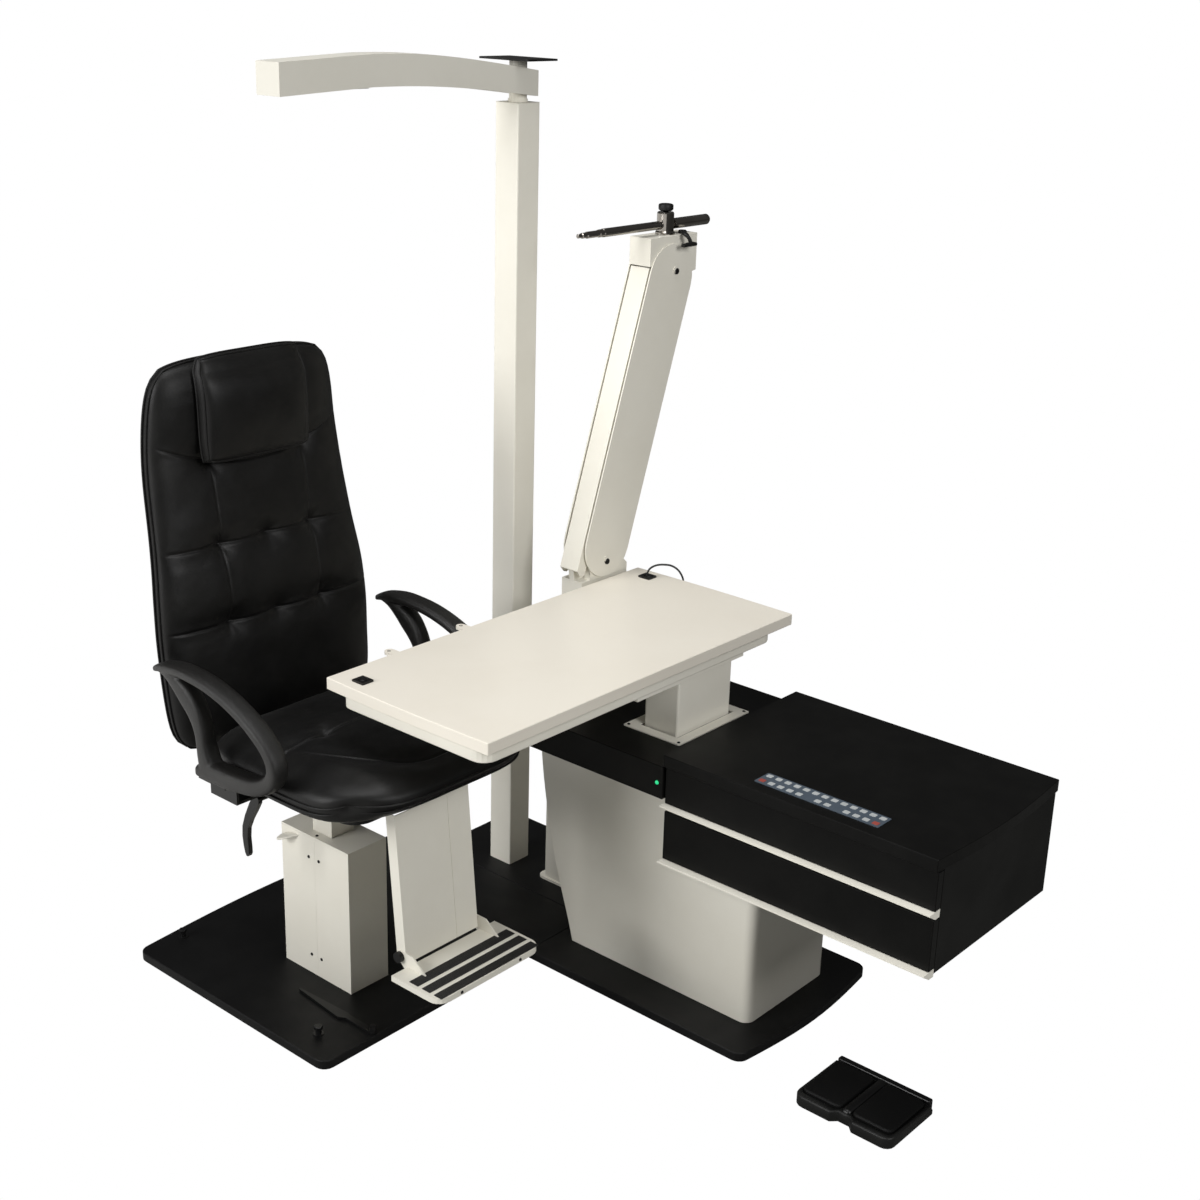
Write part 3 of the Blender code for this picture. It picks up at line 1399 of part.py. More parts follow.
def build_drawers():
    """The carcass carries both drawers on ledges that stand out of its side walls."""
    left, right = CARCASS_LEFT, WORKTOP_RIGHT
    top = WORKTOP_BOTTOM - GAP
    carcass = piece(
        "drawer_carcass",
        block((left, right), (CARCASS_NEAR, CARCASS_FAR), (CARCASS_BOTTOM, top)),
        "black_laminate",
    )
    soften(carcass, EDGE_ROUND)
    inner_left, inner_right = left + BOARD, right - BOARD
    floor = CARCASS_BOTTOM + BOARD
    ledge = UPPER_FRONT_BOTTOM + DRAWER_WALL / 2 - GAP
    ledge_left, ledge_right = inner_left + RUNNER_WIDTH, inner_right - RUNNER_WIDTH
    hollow = [
        (inner_left, floor), (inner_right, floor),
        (inner_right, ledge - RUNNER_HEIGHT), (ledge_right, ledge - RUNNER_HEIGHT),
        (ledge_right, ledge), (inner_right, ledge),
        (inner_right, top + OVERRUN), (inner_left, top + OVERRUN),
        (inner_left, ledge), (ledge_left, ledge),
        (ledge_left, ledge - RUNNER_HEIGHT), (inner_left, ledge - RUNNER_HEIGHT),
    ]
    cut(carcass, prism(hollow, CARCASS_NEAR - OVERRUN, CARCASS_FAR - BOARD, "Y"), "hollow")

    rows = [
        ("upper", UPPER_FRONT_BOTTOM, UPPER_FRONT_HEIGHT, UPPER_DRAWER_HEIGHT, ledge + GAP),
        ("lower", LOWER_FRONT_BOTTOM, LOWER_FRONT_HEIGHT, LOWER_DRAWER_HEIGHT, floor + GAP),
    ]
    front_far = CARCASS_NEAR - GAP
    front_near = front_far - FRONT_THICKNESS
    box_left = inner_left + DRAWER_SIDE_CLEARANCE
    box_right = inner_right - DRAWER_SIDE_CLEARANCE
    box_far = CARCASS_NEAR + DRAWER_DEPTH
    for name, low, high, deep, bottom in rows:
        slide = hub(f"{name}_drawer_slide", ((left + right) / 2, front_near, low))
        front = piece(
            f"{name}_drawer",
            block((left, right), (front_near, front_far), (low, low + high)),
            "black_laminate",
            on=slide,
        )
        soften(front, EDGE_ROUND)
        tub = block(
            (box_left, box_right), (front_far - FRONT_THICKNESS / 2, box_far), (bottom, bottom + deep)
        )
        weld(front, tub, "box")
        wall = DRAWER_WALL
        room = block(
            (box_left + wall, box_right - wall),
            (front_far + wall, box_far - wall),
            (bottom + wall, bottom + deep + OVERRUN),
        )
        cut(front, room, "inside")
        grip_top = low - GAP
        grip = [
            (front_far, grip_top),
            (front_near - HANDLE_DEPTH, grip_top),
            (front_near - HANDLE_DEPTH, grip_top - HANDLE_LIP),
            (front_near + HANDLE_LIP, grip_top - HANDLE_HEIGHT),
            (front_far, grip_top - HANDLE_HEIGHT),
        ]
        piece(
            f"{name}_drawer_handle",
            prism(grip, left, right, "X"),
            "handle_cream",
            on=slide,
        )


# Instrument table


def build_table():
    floor = PLATE_THICKNESS + GAP
    x, y = table_column_plan(TABLE_CLEARANCE + TABLE_GUIDE_WALL)
    inner_x, inner_y = table_column_plan(TABLE_CLEARANCE)
    guide_top = DECK_TOP - GAP
    guide = piece("table_lift_guide", block(x, y, (floor, guide_top)), "bright_steel")
    cut(guide, block(inner_x, inner_y, (floor - OVERRUN, guide_top + OVERRUN)), "bore")

    x, y = table_column_plan(TRIM_MARGIN_X)
    low = DECK_TOP + GAP
    trim = piece(
        "column_trim_plate",
        prism(rectangle(*x, *y, TRIM_THICKNESS, 2), low, low + TRIM_THICKNESS),
        "cream_paint",
    )
    x, y = table_column_plan(TRIM_CLEARANCE)
    cut(trim, block(x, y, (low - OVERRUN, low + TRIM_THICKNESS + OVERRUN)), "opening")

    x, y = table_column_plan()
    centre = ((x[0] + x[1]) / 2, (y[0] + y[1]) / 2)
    lift = hub("table_lift", (*centre, DECK_TOP))
    head_low = HEAD_BOTTOM + GAP
    column = piece(
        "table_column",
        prism(rectangle(*x, *y, TABLE_COLUMN_CORNER, 2), TABLE_COLUMN_FOOT, HEAD_BOTTOM),
        "cream_paint",
        on=lift,
    )
    wall = TABLE_COLUMN_WALL
    hollow = block(
        (x[0] + wall, x[1] - wall),
        (y[0] + wall, y[1] - wall),
        (TABLE_COLUMN_FOOT - OVERRUN, HEAD_BOTTOM - wall),
    )
    cut(column, hollow, "bore")

    head_top = head_low + HEAD_THICKNESS - GAP
    margin = TABLE_COLUMN_WALL * 2
    head = piece(
        "table_head",
        block((x[0] - margin, x[1] + margin), (HEAD_NEAR, HEAD_FAR), (head_low, head_top)),
        "cream_paint",
        on=lift,
    )
    tray_low = head_top + GAP
    rail = RAIL_WIDTH / 2
    rail_top = tray_low + RAIL_HEIGHT
    weld(
        head,
        block(
            (centre[0] - rail, centre[0] + rail),
            (HEAD_NEAR + margin, HEAD_FAR - margin),
            (head_top - GAP, rail_top),
        ),
        "rail",
    )

    slide = hub("table_slide", (*centre, tray_low), lift)
    tray_top = tray_low + TRAY_HEIGHT
    tray_plan = rectangle(TRAY_LEFT, TRAY_RIGHT, TRAY_NEAR, TRAY_FAR, TRAY_CORNER)
    tray = piece("table_tray", prism(tray_plan, tray_low, tray_top), "cream_paint", on=slide)
    soften(tray, EDGE_ROUND * 2, 2)
    play = rail + RAIL_CLEARANCE
    skin = TRAY_WALL
    cut(
        tray,
        block(
            (centre[0] - play, centre[0] + play),
            (TRAY_NEAR + skin, TRAY_FAR - skin),
            (tray_low - OVERRUN, rail_top + GAP),
        ),
        "rail_groove",
    )

    sides = (
        ("left_hollow", TRAY_LEFT + skin, centre[0] - play - skin),
        ("right_hollow", centre[0] + play + skin, TRAY_RIGHT - skin),
    )
    for name, start, end in sides:
        room = rectangle(start, end, TRAY_NEAR + skin, TRAY_FAR - skin, skin * 2, 3)
        if start > centre[0]:
            room = rectangle(start, end, TRAY_NEAR + TRAY_CORNER, TRAY_FAR - TRAY_CORNER, skin * 2, 3)
        cut(tray, prism(room, tray_low - OVERRUN, tray_top - skin), name)

    low, high = tray_top + GAP, tray_top + GAP + BOARD_THICKNESS
    near, far = BOARD_NEAR, BOARD_FAR
    outline = [(BOARD_LEFT, near)]
    outline += bulged((BOARD_LEFT, near), (BOARD_RIGHT, near), BOARD_BULGE, 8)
    outline += [(BOARD_RIGHT, near), (BOARD_RIGHT, far)]
    outline += bulged((BOARD_RIGHT, far), (BOARD_LEFT, far), BOARD_BULGE, 8)
    outline += [(BOARD_LEFT, far)]
    board = piece("table_board", prism(outline, low, high), "ivory_laminate", on=slide)
    soften(board, EDGE_ROUND)

    sockets = (("socket_near", NEAR_SOCKET_X, NEAR_SOCKET_Y), ("socket_far", FAR_SOCKET_X, FAR_SOCKET_Y))
    for name, at_x, at_y in sockets:
        long, broad = SOCKET_LENGTH / 2, SOCKET_WIDTH / 2
        seat = high - SOCKET_DEPTH
        face = high + SOCKET_PROUD
        well = block(
            (at_x - long - GAP, at_x + long + GAP),
            (at_y - broad - GAP, at_y + broad + GAP),
            (seat, high + OVERRUN),
        )
        cut(board, well, name)
        body = piece(
            name,
            block((at_x - long, at_x + long), (at_y - broad, at_y + broad), (seat + GAP, face)),
            "black_plastic",
            on=slide,
        )
        port = SOCKET_SLOT / 2
        mouth = block(
            (at_x - port, at_x + port), (at_y - port, at_y + port), (face - SOCKET_PROUD, face + OVERRUN)
        )
        cut(body, mouth, "mouth")

    boss_shares = (0.1945, 0.4088)
    boss_top = high - BOSS_DROP
    for name, share in zip(("near_boss", "far_boss"), boss_shares):
        at_y = near + (far - near) * share
        at_x = BOARD_LEFT - BOSS_OUT
        ear = drum((at_x, at_y), BOSS_RADIUS, boss_top - BOSS_HEIGHT, boss_top, sides=24)
        arm = block(
            (at_x, BOARD_LEFT + EDGE_ROUND * 2),
            (at_y - BOSS_RADIUS, at_y + BOSS_RADIUS),
            (boss_top - BOSS_HEIGHT, boss_top),
        )
        weld(board, arm, f"{name}_root")
        weld(board, ear, name)
    build_table_cable(slide, high)
    return lift


def build_table_cable(slide, board_top):
    """The short lead from the far socket, over the board's far end and up against the tray."""
    low = board_top + SOCKET_PROUD
    port_depth = SOCKET_PROUD - GAP * 2
    route_shares = (
        (0.004, 0.010, 0.314),
        (0.070, 0.108, 0.667),
        (0.228, 0.284, 0.922),
        (0.439, 0.480, 1.000),
        (0.684, 0.696, 0.922),
        (0.895, 0.873, 0.549),
        (1.035, 0.990, -0.078),
        (1.088, 1.000, -0.706),
        (1.070, 0.912, -1.294),
        (1.035, 0.696, -1.765),
        (1.000, 0.402, -1.961),
    )
    route = [(FAR_SOCKET_X, FAR_SOCKET_Y, low - port_depth)]
    for share_x, share_y, share_z in route_shares:
        place_x = FAR_SOCKET_X + CABLE_REACH * share_x
        place_y = FAR_SOCKET_Y + CABLE_SWING * share_y
        route.append((place_x, place_y, low + CABLE_RISE * share_z))
    route.append((FAR_SOCKET_X + CABLE_REACH, TRAY_FAR + GAP, low - CABLE_RISE * 2))
    path = rounded_path(route, 3)
    curve = bpy.data.curves.new("table_cable", "CURVE")
    curve.dimensions = "3D"
    curve.bevel_depth = CABLE_RADIUS
    curve.bevel_resolution = 2
    curve.use_fill_caps = True
    spline = curve.splines.new("POLY")
    spline.points.add(len(path) - 1)
    base = Vector(slide["at"])
    for point, place in zip(spline.points, path):
        point.co = (*(place - base), 1)
    curve.materials.append(paint("black_rubber"))
    cable = bpy.data.objects.new("table_cable", curve)
    cable.parent = slide
    bpy.context.collection.objects.link(cable)


# Refractor arm


def lean_pair(angle, length):
    """The y and z of a length that leans back from upright by an angle in degrees."""
    turn = math.radians(angle)
    return length * math.sin(turn), length * math.cos(turn)


def arm_frame(pivot, along, across):
    """A place in the leaning arm's own frame, as world y and z."""
    up_y, up_z = lean_pair(LINK_LEAN, 1.0)
    return pivot[0] + up_y * along + up_z * across, pivot[1] + up_z * along - up_y * across


def cheek_outline(lower, upper):
    """Side plate of the arm: straight edges, and round ends that wrap the two main pivots."""
    middle = (CHEEK_BACK - CHEEK_FRONT) / 2
    half = (CHEEK_BACK + CHEEK_FRONT) / 2

    def end(pivot, reach, sign):
        centre = reach - CHEEK_ROUND
        start = math.asin(min(1.0, half / CHEEK_ROUND))
        points = []
        for k in range(13):
            turn = start - 2 * start * k / 12
            along = centre + CHEEK_ROUND * math.cos(turn)
            across = middle + CHEEK_ROUND * math.sin(turn) * sign
            points.append(arm_frame(pivot, along * sign, across))
        return points

    return end(upper, CHEEK_TOP_END, 1) + end(lower, CHEEK_BOTTOM_END, -1)


def build_refractor_column():
    floor = PLATE_THICKNESS + GAP
    x, y = REFRACTOR_X, REFRACTOR_Y
    long, broad = FOOT_COLUMN_LENGTH / 2, FOOT_COLUMN_WIDTH / 2
    column = piece(
        "refractor_column",
        prism(
            rectangle(x - long, x + long, y - broad, y + broad, FOOT_COLUMN_CORNER, 2),
            floor + FLANGE_THICKNESS / 2,
            FOOT_COLUMN_TOP,
        ),
        "cream_paint",
    )
    rim = FLANGE_MARGIN
    flange = prism(
        rectangle(x - long - rim, x + long + rim, y - broad - rim * 0.3, y + broad + rim * 0.3, FLANGE_CORNER),
        floor,
        floor + FLANGE_THICKNESS,
    )
    weld(column, flange, "flange")
    wall = FOOT_COLUMN_WALL
    inner_x, inner_y = (x - long + wall, x + long - wall), (y - broad + wall, y + broad - wall)
    inner_z = (floor - OVERRUN, FOOT_COLUMN_TOP - FLANGE_THICKNESS * 1.5)
    cut(column, block(inner_x, inner_y, inner_z), "hollow")
    post_x, post_y = POST_LENGTH / 2 - CHEEK_CLEARANCE, POST_WIDTH / 2
    neck_top = POST_TOP - GAP
    neck = block(
        (x - post_x, x + post_x),
        (y - post_y, y + post_y),
        (FOOT_COLUMN_TOP - FLANGE_THICKNESS, neck_top),
    )
    weld(column, neck, "neck")


def build_refractor_arm():
    x, y = REFRACTOR_X, REFRACTOR_Y
    swivel = hub("refractor_swivel", (x, y, POST_TOP))
    lower = (y, LOWER_PIVOT_Z)
    step_y, step_z = lean_pair(LINK_LEAN, LINK_LENGTH)
    upper = (y + step_y, LOWER_PIVOT_Z + step_z)
    middle_lean = math.radians(LINK_LEAN - LIFT_SWING / 2)
    rocker = (-ROCKER * math.cos(middle_lean), ROCKER * math.sin(middle_lean))
    half = POST_LENGTH / 2
    post_y = POST_WIDTH / 2

    web = half - CHEEK_CLEARANCE
    fork_top = lower[1] + PIVOT_BOSS * 2
    shoulder = POST_TOP + FORK_SHOULDER
    link_front = lower[0] + rocker[0]
    outline = filleted(
        [
            (y - post_y, POST_TOP, 0),
            (y + post_y, POST_TOP, 0),
            (y + post_y, shoulder, 0),
            (lower[0] + PIVOT_BOSS * 2, fork_top, PIVOT_BOSS),
            (lower[0] - PIVOT_BOSS * 2, fork_top, PIVOT_BOSS),
            (lower[0] - PIVOT_BOSS * 2.4, lower[1] + rocker[1] + ROCKER_RADIUS, 0),
            (link_front, lower[1] + rocker[1] + ROCKER_RADIUS, ROCKER_RADIUS * 0.9),
            (link_front - ROCKER_RADIUS, lower[1] + rocker[1], 0),
            (y - post_y, POST_TOP + FRONT_LINK_WALL, 0),
        ],
        3,
    )
    web_x = (x - web, x + web)
    fork = piece("swivel_fork", prism(outline, *web_x, "X"), "cream_paint", on=swivel)
    pin_hole = PIVOT_RADIUS + PIN_CLEARANCE
    reach = half + CHEEK_THICKNESS + PIVOT_HEAD_THICKNESS
    run = (x - reach - OVERRUN, x + reach + OVERRUN)
    cut(fork, drum(lower, pin_hole, *run, "X", 24), "pivot_hole")
    ear = ROCKER_THICKNESS / 2
    fork_link = (lower[0] + rocker[0], lower[1] + rocker[1])
    side_room = FRONT_LINK_BEHIND + ROCKER_RADIUS
    for name, sides in (
        ("left_relief", (x - web - OVERRUN, x - ear)),
        ("right_relief", (x + ear, x + web + OVERRUN)),
    ):
        relief = block(
            sides,
            (y - post_y - OVERRUN, fork_link[0] + side_room),
            (POST_TOP + FRONT_LINK_WALL, fork_top + OVERRUN),
        )
        cut(fork, relief, name)
    link_half = FRONT_LINK_WIDTH / 2
    weld(fork, drum(fork_link, LINK_PIN, x - link_half, x + link_half, "X", 16), "link_pin")

    lift = hub("refractor_lift", (x, *lower), swivel)
    outline = cheek_outline(lower, upper)
    outer = half + CHEEK_THICKNESS
    arm = piece("arm_housing", prism(outline, x - outer, x + outer, "X"), "cream_paint", on=lift)
    front, back = -CHEEK_FRONT - OVERRUN, CHEEK_BACK - CHEEK_THICKNESS
    past = CHEEK_TOP_END + OVERRUN
    inside = [
        arm_frame(lower, -past, front),
        arm_frame(lower, -past, CHEEK_BACK + OVERRUN),
        arm_frame(lower, WEB_INSET, CHEEK_BACK + OVERRUN),
        arm_frame(lower, WEB_INSET, back),
        arm_frame(upper, -WEB_INSET, back),
        arm_frame(upper, -WEB_INSET, CHEEK_BACK + OVERRUN),
        arm_frame(upper, past, CHEEK_BACK + OVERRUN),
        arm_frame(upper, past, front),
    ]
    cut(arm, prism(inside, x - half, x + half, "X"), "inside")
    head = outer + PIVOT_HEAD_THICKNESS
    for name, centre in (("lower_pin", lower), ("upper_pin", upper)):
        weld(arm, drum(centre, PIVOT_RADIUS, x - outer, x + outer, "X", 24), name)
        weld(arm, drum(centre, PIVOT_HEAD, x - head, x - half - GAP, "X", 24), f"{name}_left_head")
        weld(arm, drum(centre, PIVOT_HEAD, x + half + GAP, x + head, "X", 24), f"{name}_right_head")

    build_front_link(lower, upper, rocker, swivel)
    return build_refractor_head(lift, upper, rocker)


def build_front_link(lower, upper, rocker, swivel):
    """The second link of the parallelogram, a channel that covers the front of the arm."""
    x = REFRACTOR_X
    start = (lower[0] + rocker[0], lower[1] + rocker[1])
    end = (upper[0] + rocker[0], upper[1] + rocker[1])
    pivot = hub("front_link_pivot", (x, *start), swivel)
    front, back = -FRONT_LINK_AHEAD, FRONT_LINK_BEHIND
    low, high = -FRONT_LINK_BELOW, FRONT_LINK_ABOVE
    half = FRONT_LINK_WIDTH / 2
    outline = [
        arm_frame(start, low * 0.2, front),
        arm_frame(start, low, front * 0.25),
        arm_frame(start, low, back * 0.5),
        arm_frame(start, low * 0.5, back),
        arm_frame(end, high, back),
        arm_frame(end, high, front),
    ]
    link = piece("front_link", prism(outline, x - half, x + half, "X"), "cream_paint", on=pivot)
    wall = FRONT_LINK_WALL
    hollow = [
        arm_frame(start, low - OVERRUN, front + wall),
        arm_frame(start, low - OVERRUN, back + OVERRUN),
        arm_frame(end, high + OVERRUN, back + OVERRUN),
        arm_frame(end, high + OVERRUN, front + wall),
    ]
    cut(link, prism(hollow, x - half + wall, x + half - wall, "X"), "channel")
    hole = LINK_PIN + PIN_CLEARANCE
    run = (x - half - OVERRUN, x + half + OVERRUN)
    for name, centre in (("lower_hole", start), ("upper_hole", end)):
        cut(link, drum(centre, hole, *run, "X", 16), name)


def build_refractor_head(lift, upper, rocker):
    x = REFRACTOR_X
    level = hub("refractor_level", (x, *upper), lift)
    half = POST_LENGTH / 2 - CHEEK_CLEARANCE
    front, back = upper[0] - HEAD_FRONT, upper[0] + HEAD_BACK
    top = upper[1] + HEAD_TOP
    shoulder = top - HEAD_DEPTH
    end = (upper[0] + rocker[0], upper[1] + rocker[1])
    nose = end[1] + FRONT_LINK_ABOVE + ROCKER_RADIUS * 0.7
    outline = filleted(
        [
            (front, nose, 0),
            (front, top, 0),
            (back, top, 0),
            (back, top - HEAD_HEEL, 0),
            (upper[0] + PIVOT_BOSS * 1.6, upper[1] - PIVOT_BOSS * 1.6, PIVOT_BOSS),
            (upper[0] - PIVOT_BOSS * 1.6, upper[1] - PIVOT_BOSS * 1.6, PIVOT_BOSS),
            (end[0] + ROCKER_RADIUS, end[1] - ROCKER_RADIUS, 0),
            (end[0] - ROCKER_RADIUS * 0.3, end[1] - ROCKER_RADIUS * 0.9, ROCKER_RADIUS * 0.6),
            (end[0] - ROCKER_RADIUS * 0.3, end[1] + ROCKER_RADIUS * 0.9, ROCKER_RADIUS * 0.6),
            (end[0] + ROCKER_RADIUS, nose, 0),
        ],
        3,
    )
    head = piece("head_block", prism(outline, x - half, x + half, "X"), "cream_paint", on=level)
    run = (x - half - OVERRUN, x + half + OVERRUN)
    cut(head, drum(upper, PIVOT_RADIUS + PIN_CLEARANCE, *run, "X", 24), "pivot_hole")
    ear = ROCKER_THICKNESS / 2
    for name, sides in (
        ("left_relief", (x - half - OVERRUN, x - ear)),
        ("right_relief", (x + ear, x + half + OVERRUN)),
    ):
        relief = block(
            sides,
            (front - OVERRUN, end[0] + FRONT_LINK_BEHIND + ROCKER_RADIUS * 0.7),
            (end[1] - HEAD_DEPTH, nose),
        )
        cut(head, relief, name)
    link_half = FRONT_LINK_WIDTH / 2
    weld(head, drum(end, LINK_PIN, x - link_half, x + link_half, "X", 16), "link_pin")
    build_rod_clamp(level, upper, top)


def build_rod_clamp(level, upper, top):
    x = REFRACTOR_X
    centre = (x, upper[0])
    turn = hub("rod_clamp_swivel", (*centre, top), level)
    low, high = top + GAP, top + GAP + CLAMP_HEIGHT
    clamp = turned(
        [
            (0, low),
            (CLAMP_RADIUS * 1.15, low),
            (CLAMP_RADIUS * 1.15, low + CLAMP_HEIGHT * 0.10),
            (CLAMP_RADIUS, low + CLAMP_HEIGHT * 0.16),
            (CLAMP_RADIUS, high - CLAMP_HEIGHT * 0.06),
            (CLAMP_RADIUS * 0.92, high),
            (0, high),
        ],
        (*centre, 0),
        sides=32,
    )
    body = piece("rod_clamp", clamp, "dark_chrome", on=turn, smooth=True)
    rod_z = low + ROD_RISE
    axis = (x, rod_z)
    bore = ROD_RADIUS + PIN_CLEARANCE
    wide = CLAMP_RADIUS * 1.2
    cut(body, drum(axis, bore, centre[1] - wide, centre[1] + wide, "Y", 24), "rod_hole")
    stem_hole = CLAMP_STEM + PIN_CLEARANCE
    stem_low = rod_z + ROD_RADIUS + OVERRUN
    cut(body, drum(centre, stem_hole, stem_low, high + OVERRUN, sides=16), "stem_hole")

    slide = hub("rod_slide", (x, centre[1], rod_z), turn)
    tail = ROD_TAIL - ROD_TAIL_LENGTH
    nose = -ROD_TIP + ROD_NOSE_LENGTH
    rod = turned(
        [
            (0, -ROD_TIP),
            (ROD_NOSE_RADIUS * 0.8, -ROD_TIP),
            (ROD_NOSE_RADIUS, -ROD_TIP + ROD_NOSE_RADIUS * 0.4),
            (ROD_NOSE_RADIUS, nose),
            (ROD_RADIUS, nose + ROD_NOSE_RADIUS * 0.4),
            (ROD_RADIUS, tail),
            (ROD_TAIL_RADIUS, tail),
            (ROD_TAIL_RADIUS, ROD_TAIL - ROD_NOSE_RADIUS * 0.3),
            (ROD_TAIL_RADIUS * 0.85, ROD_TAIL),
            (0, ROD_TAIL),
        ],
        (x, centre[1], rod_z),
        sides=24,
        along="Y",
    )
    piece("refractor_rod", rod, "dark_chrome", on=slide, smooth=True)

    knob_axis = hub("clamp_knob_axis", (*centre, high), turn)
    knob_low = high + GAP
    knob = turned(
        [
            (0, stem_low + GAP),
            (CLAMP_STEM, stem_low + GAP),
            (CLAMP_STEM, knob_low),
            (CLAMP_KNOB_RADIUS * 0.9, knob_low),
            (CLAMP_KNOB_RADIUS, knob_low + CLAMP_KNOB_HEIGHT * 0.2),
            (CLAMP_KNOB_RADIUS, knob_low + CLAMP_KNOB_HEIGHT * 0.8),
            (CLAMP_KNOB_RADIUS * 0.85, knob_low + CLAMP_KNOB_HEIGHT),
            (0, knob_low + CLAMP_KNOB_HEIGHT),
        ],
        (*centre, 0),
        sides=28,
    )
    piece("clamp_knob", knob, "black_plastic", on=knob_axis, smooth=True)

    lock_y = centre[1] + ROD_LOCK_OFFSET
    lock_x = x + POST_LENGTH / 2 - ROD_LOCK_RADIUS * 1.3
    lock = hub("head_lock_axis", (lock_x, lock_y, top), level)
    base = top + GAP
    lever = turned(
        [
            (0, base),
            (ROD_LOCK_RADIUS, base),
            (ROD_LOCK_RADIUS, base + ROD_LOCK_HEIGHT * 0.5),
            (ROD_LOCK_RADIUS * 0.6, base + ROD_LOCK_HEIGHT * 0.6),
            (0, base + ROD_LOCK_HEIGHT * 0.6),
        ],
        (lock_x, lock_y, 0),
        sides=20,
    )
    made = piece("head_lock_lever", lever, "black_plastic", on=lock)
    wide = ROD_LOCK_WIDTH / 2
    blade = [
        (lock_x, base + ROD_LOCK_HEIGHT * 0.15),
        (lock_x + ROD_LOCK_REACH * 0.5, base + ROD_LOCK_HEIGHT * 0.15),
        (lock_x + ROD_LOCK_REACH * 0.8, base - ROD_LOCK_HEIGHT * 2.2),
        (lock_x + ROD_LOCK_REACH, base - ROD_LOCK_HEIGHT * 2.2),
        (lock_x + ROD_LOCK_REACH * 0.7, base + ROD_LOCK_HEIGHT * 0.5),
        (lock_x, base + ROD_LOCK_HEIGHT * 0.5),
    ]
    weld(made, prism(blade, lock_y - wide, lock_y + wide, "Y"), "blade")
    sole = base - ROD_LOCK_HEIGHT * 2.2
    foot = block(
        (lock_x + ROD_LOCK_REACH * 0.75, lock_x + ROD_LOCK_REACH * 0.97),
        (lock_y - ROD_LOCK_FOOT, lock_y + wide * 0.8),
        (sole + ROD_LOCK_HEIGHT * 0.1, sole + ROD_LOCK_HEIGHT * 0.8),
    )
    weld(made, foot, "foot")


# Foot switch


def build_foot_switch():
    left, near = SWITCH_X, SWITCH_Y
    right, far = left + SWITCH_LENGTH, near + SWITCH_WIDTH
    middle = (left + right) / 2
    waist = near + SWITCH_WAIST
    bay = TREADLE_SPACING / 2
    outline = filleted(
        [
            (left, near, SWITCH_CORNER),
            (middle - bay * 2, near, SWITCH_WAIST * 0.4),
            (middle - bay, waist, 0),
            (middle + bay, waist, 0),
            (middle + bay * 2, near, SWITCH_WAIST * 0.4),
            (right, near, SWITCH_CORNER),
            (right, far, SWITCH_CORNER),
            (left, far, SWITCH_CORNER),
        ],
        4,
    )
    body = piece("foot_switch_housing", prism(outline, 0, SWITCH_HEIGHT), "black_plastic")
    soften(body, TREADLE_EDGE, 2, 50)
    ledge_near = far - SWITCH_LEDGE
    ledge = block(
        (left - OVERRUN, right + OVERRUN),
        (ledge_near, far + OVERRUN),
        (SWITCH_LEDGE_HEIGHT, SWITCH_HEIGHT + OVERRUN),
    )
    cut(body, ledge, "ledge")
    inlet = drum(
        (middle, SWITCH_LEDGE_HEIGHT / 2),
        SWITCH_INLET_RADIUS,
        far - SWITCH_CORNER,
        far + SWITCH_INLET_LENGTH,
        "Y",
        16,
    )
    weld(body, inlet, "cord_inlet")
    floor = SWITCH_HEIGHT - TREADLE_POCKET
    edge = TREADLE_INSET
    bays = (
        ("left_treadle", left + edge, middle - bay),
        ("right_treadle", middle + bay, right - edge),
    )
    for name, start, end in bays:
        span = (near + edge + SWITCH_WAIST * 0.5, ledge_near - edge)
        pocket = rectangle(start, end, *span, TREADLE_CORNER, 3)
        cut(body, prism(pocket, floor, SWITCH_HEIGHT + OVERRUN), f"{name}_pocket")
        play = GAP * 2
        rest = floor + TREADLE_TILT_ROOM
        axis = hub(f"{name}_axis", ((start + end) / 2, span[1] - play, floor + GAP))
        plan = rectangle(
            start + play, end - play, span[0] + play * 3, span[1] - play, TREADLE_CORNER - play, 3
        )
        treadle = piece(
            name, prism(plan, rest, SWITCH_HEIGHT + TREADLE_PROUD), "black_rubber", on=axis
        )
        soften(treadle, TREADLE_EDGE, 2, 50)
        heel = block(
            (start + TREADLE_CORNER, end - TREADLE_CORNER),
            (span[1] - TREADLE_HEEL, span[1] - play * 2),
            (floor + GAP, rest + GAP),
        )
        weld(treadle, heel, "heel")


clear_scene()
build_base_plates()
build_lock_pedal()
build_lamp_column()
chair = build_chair_column()
seat_hub = hub("seat_swivel", (CHAIR_X, CHAIR_Y, MECHANISM_BOTTOM), chair)
pan_bottom = build_mechanism(seat_hub) + GAP + BRACKET_THICKNESS + GAP
build_seat(seat_hub, pan_bottom - GAP)
build_backrest(seat_hub)
build_armrests(seat_hub, pan_bottom)
build_chair_levers(seat_hub)
build_footrest(seat_hub, pan_bottom)
build_pedestal()
build_console()
build_drawers()
build_table()
build_refractor_column()
build_refractor_arm()
build_foot_switch()
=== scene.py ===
import math

import bmesh
import bpy
from mathutils import Matrix, Vector, noise


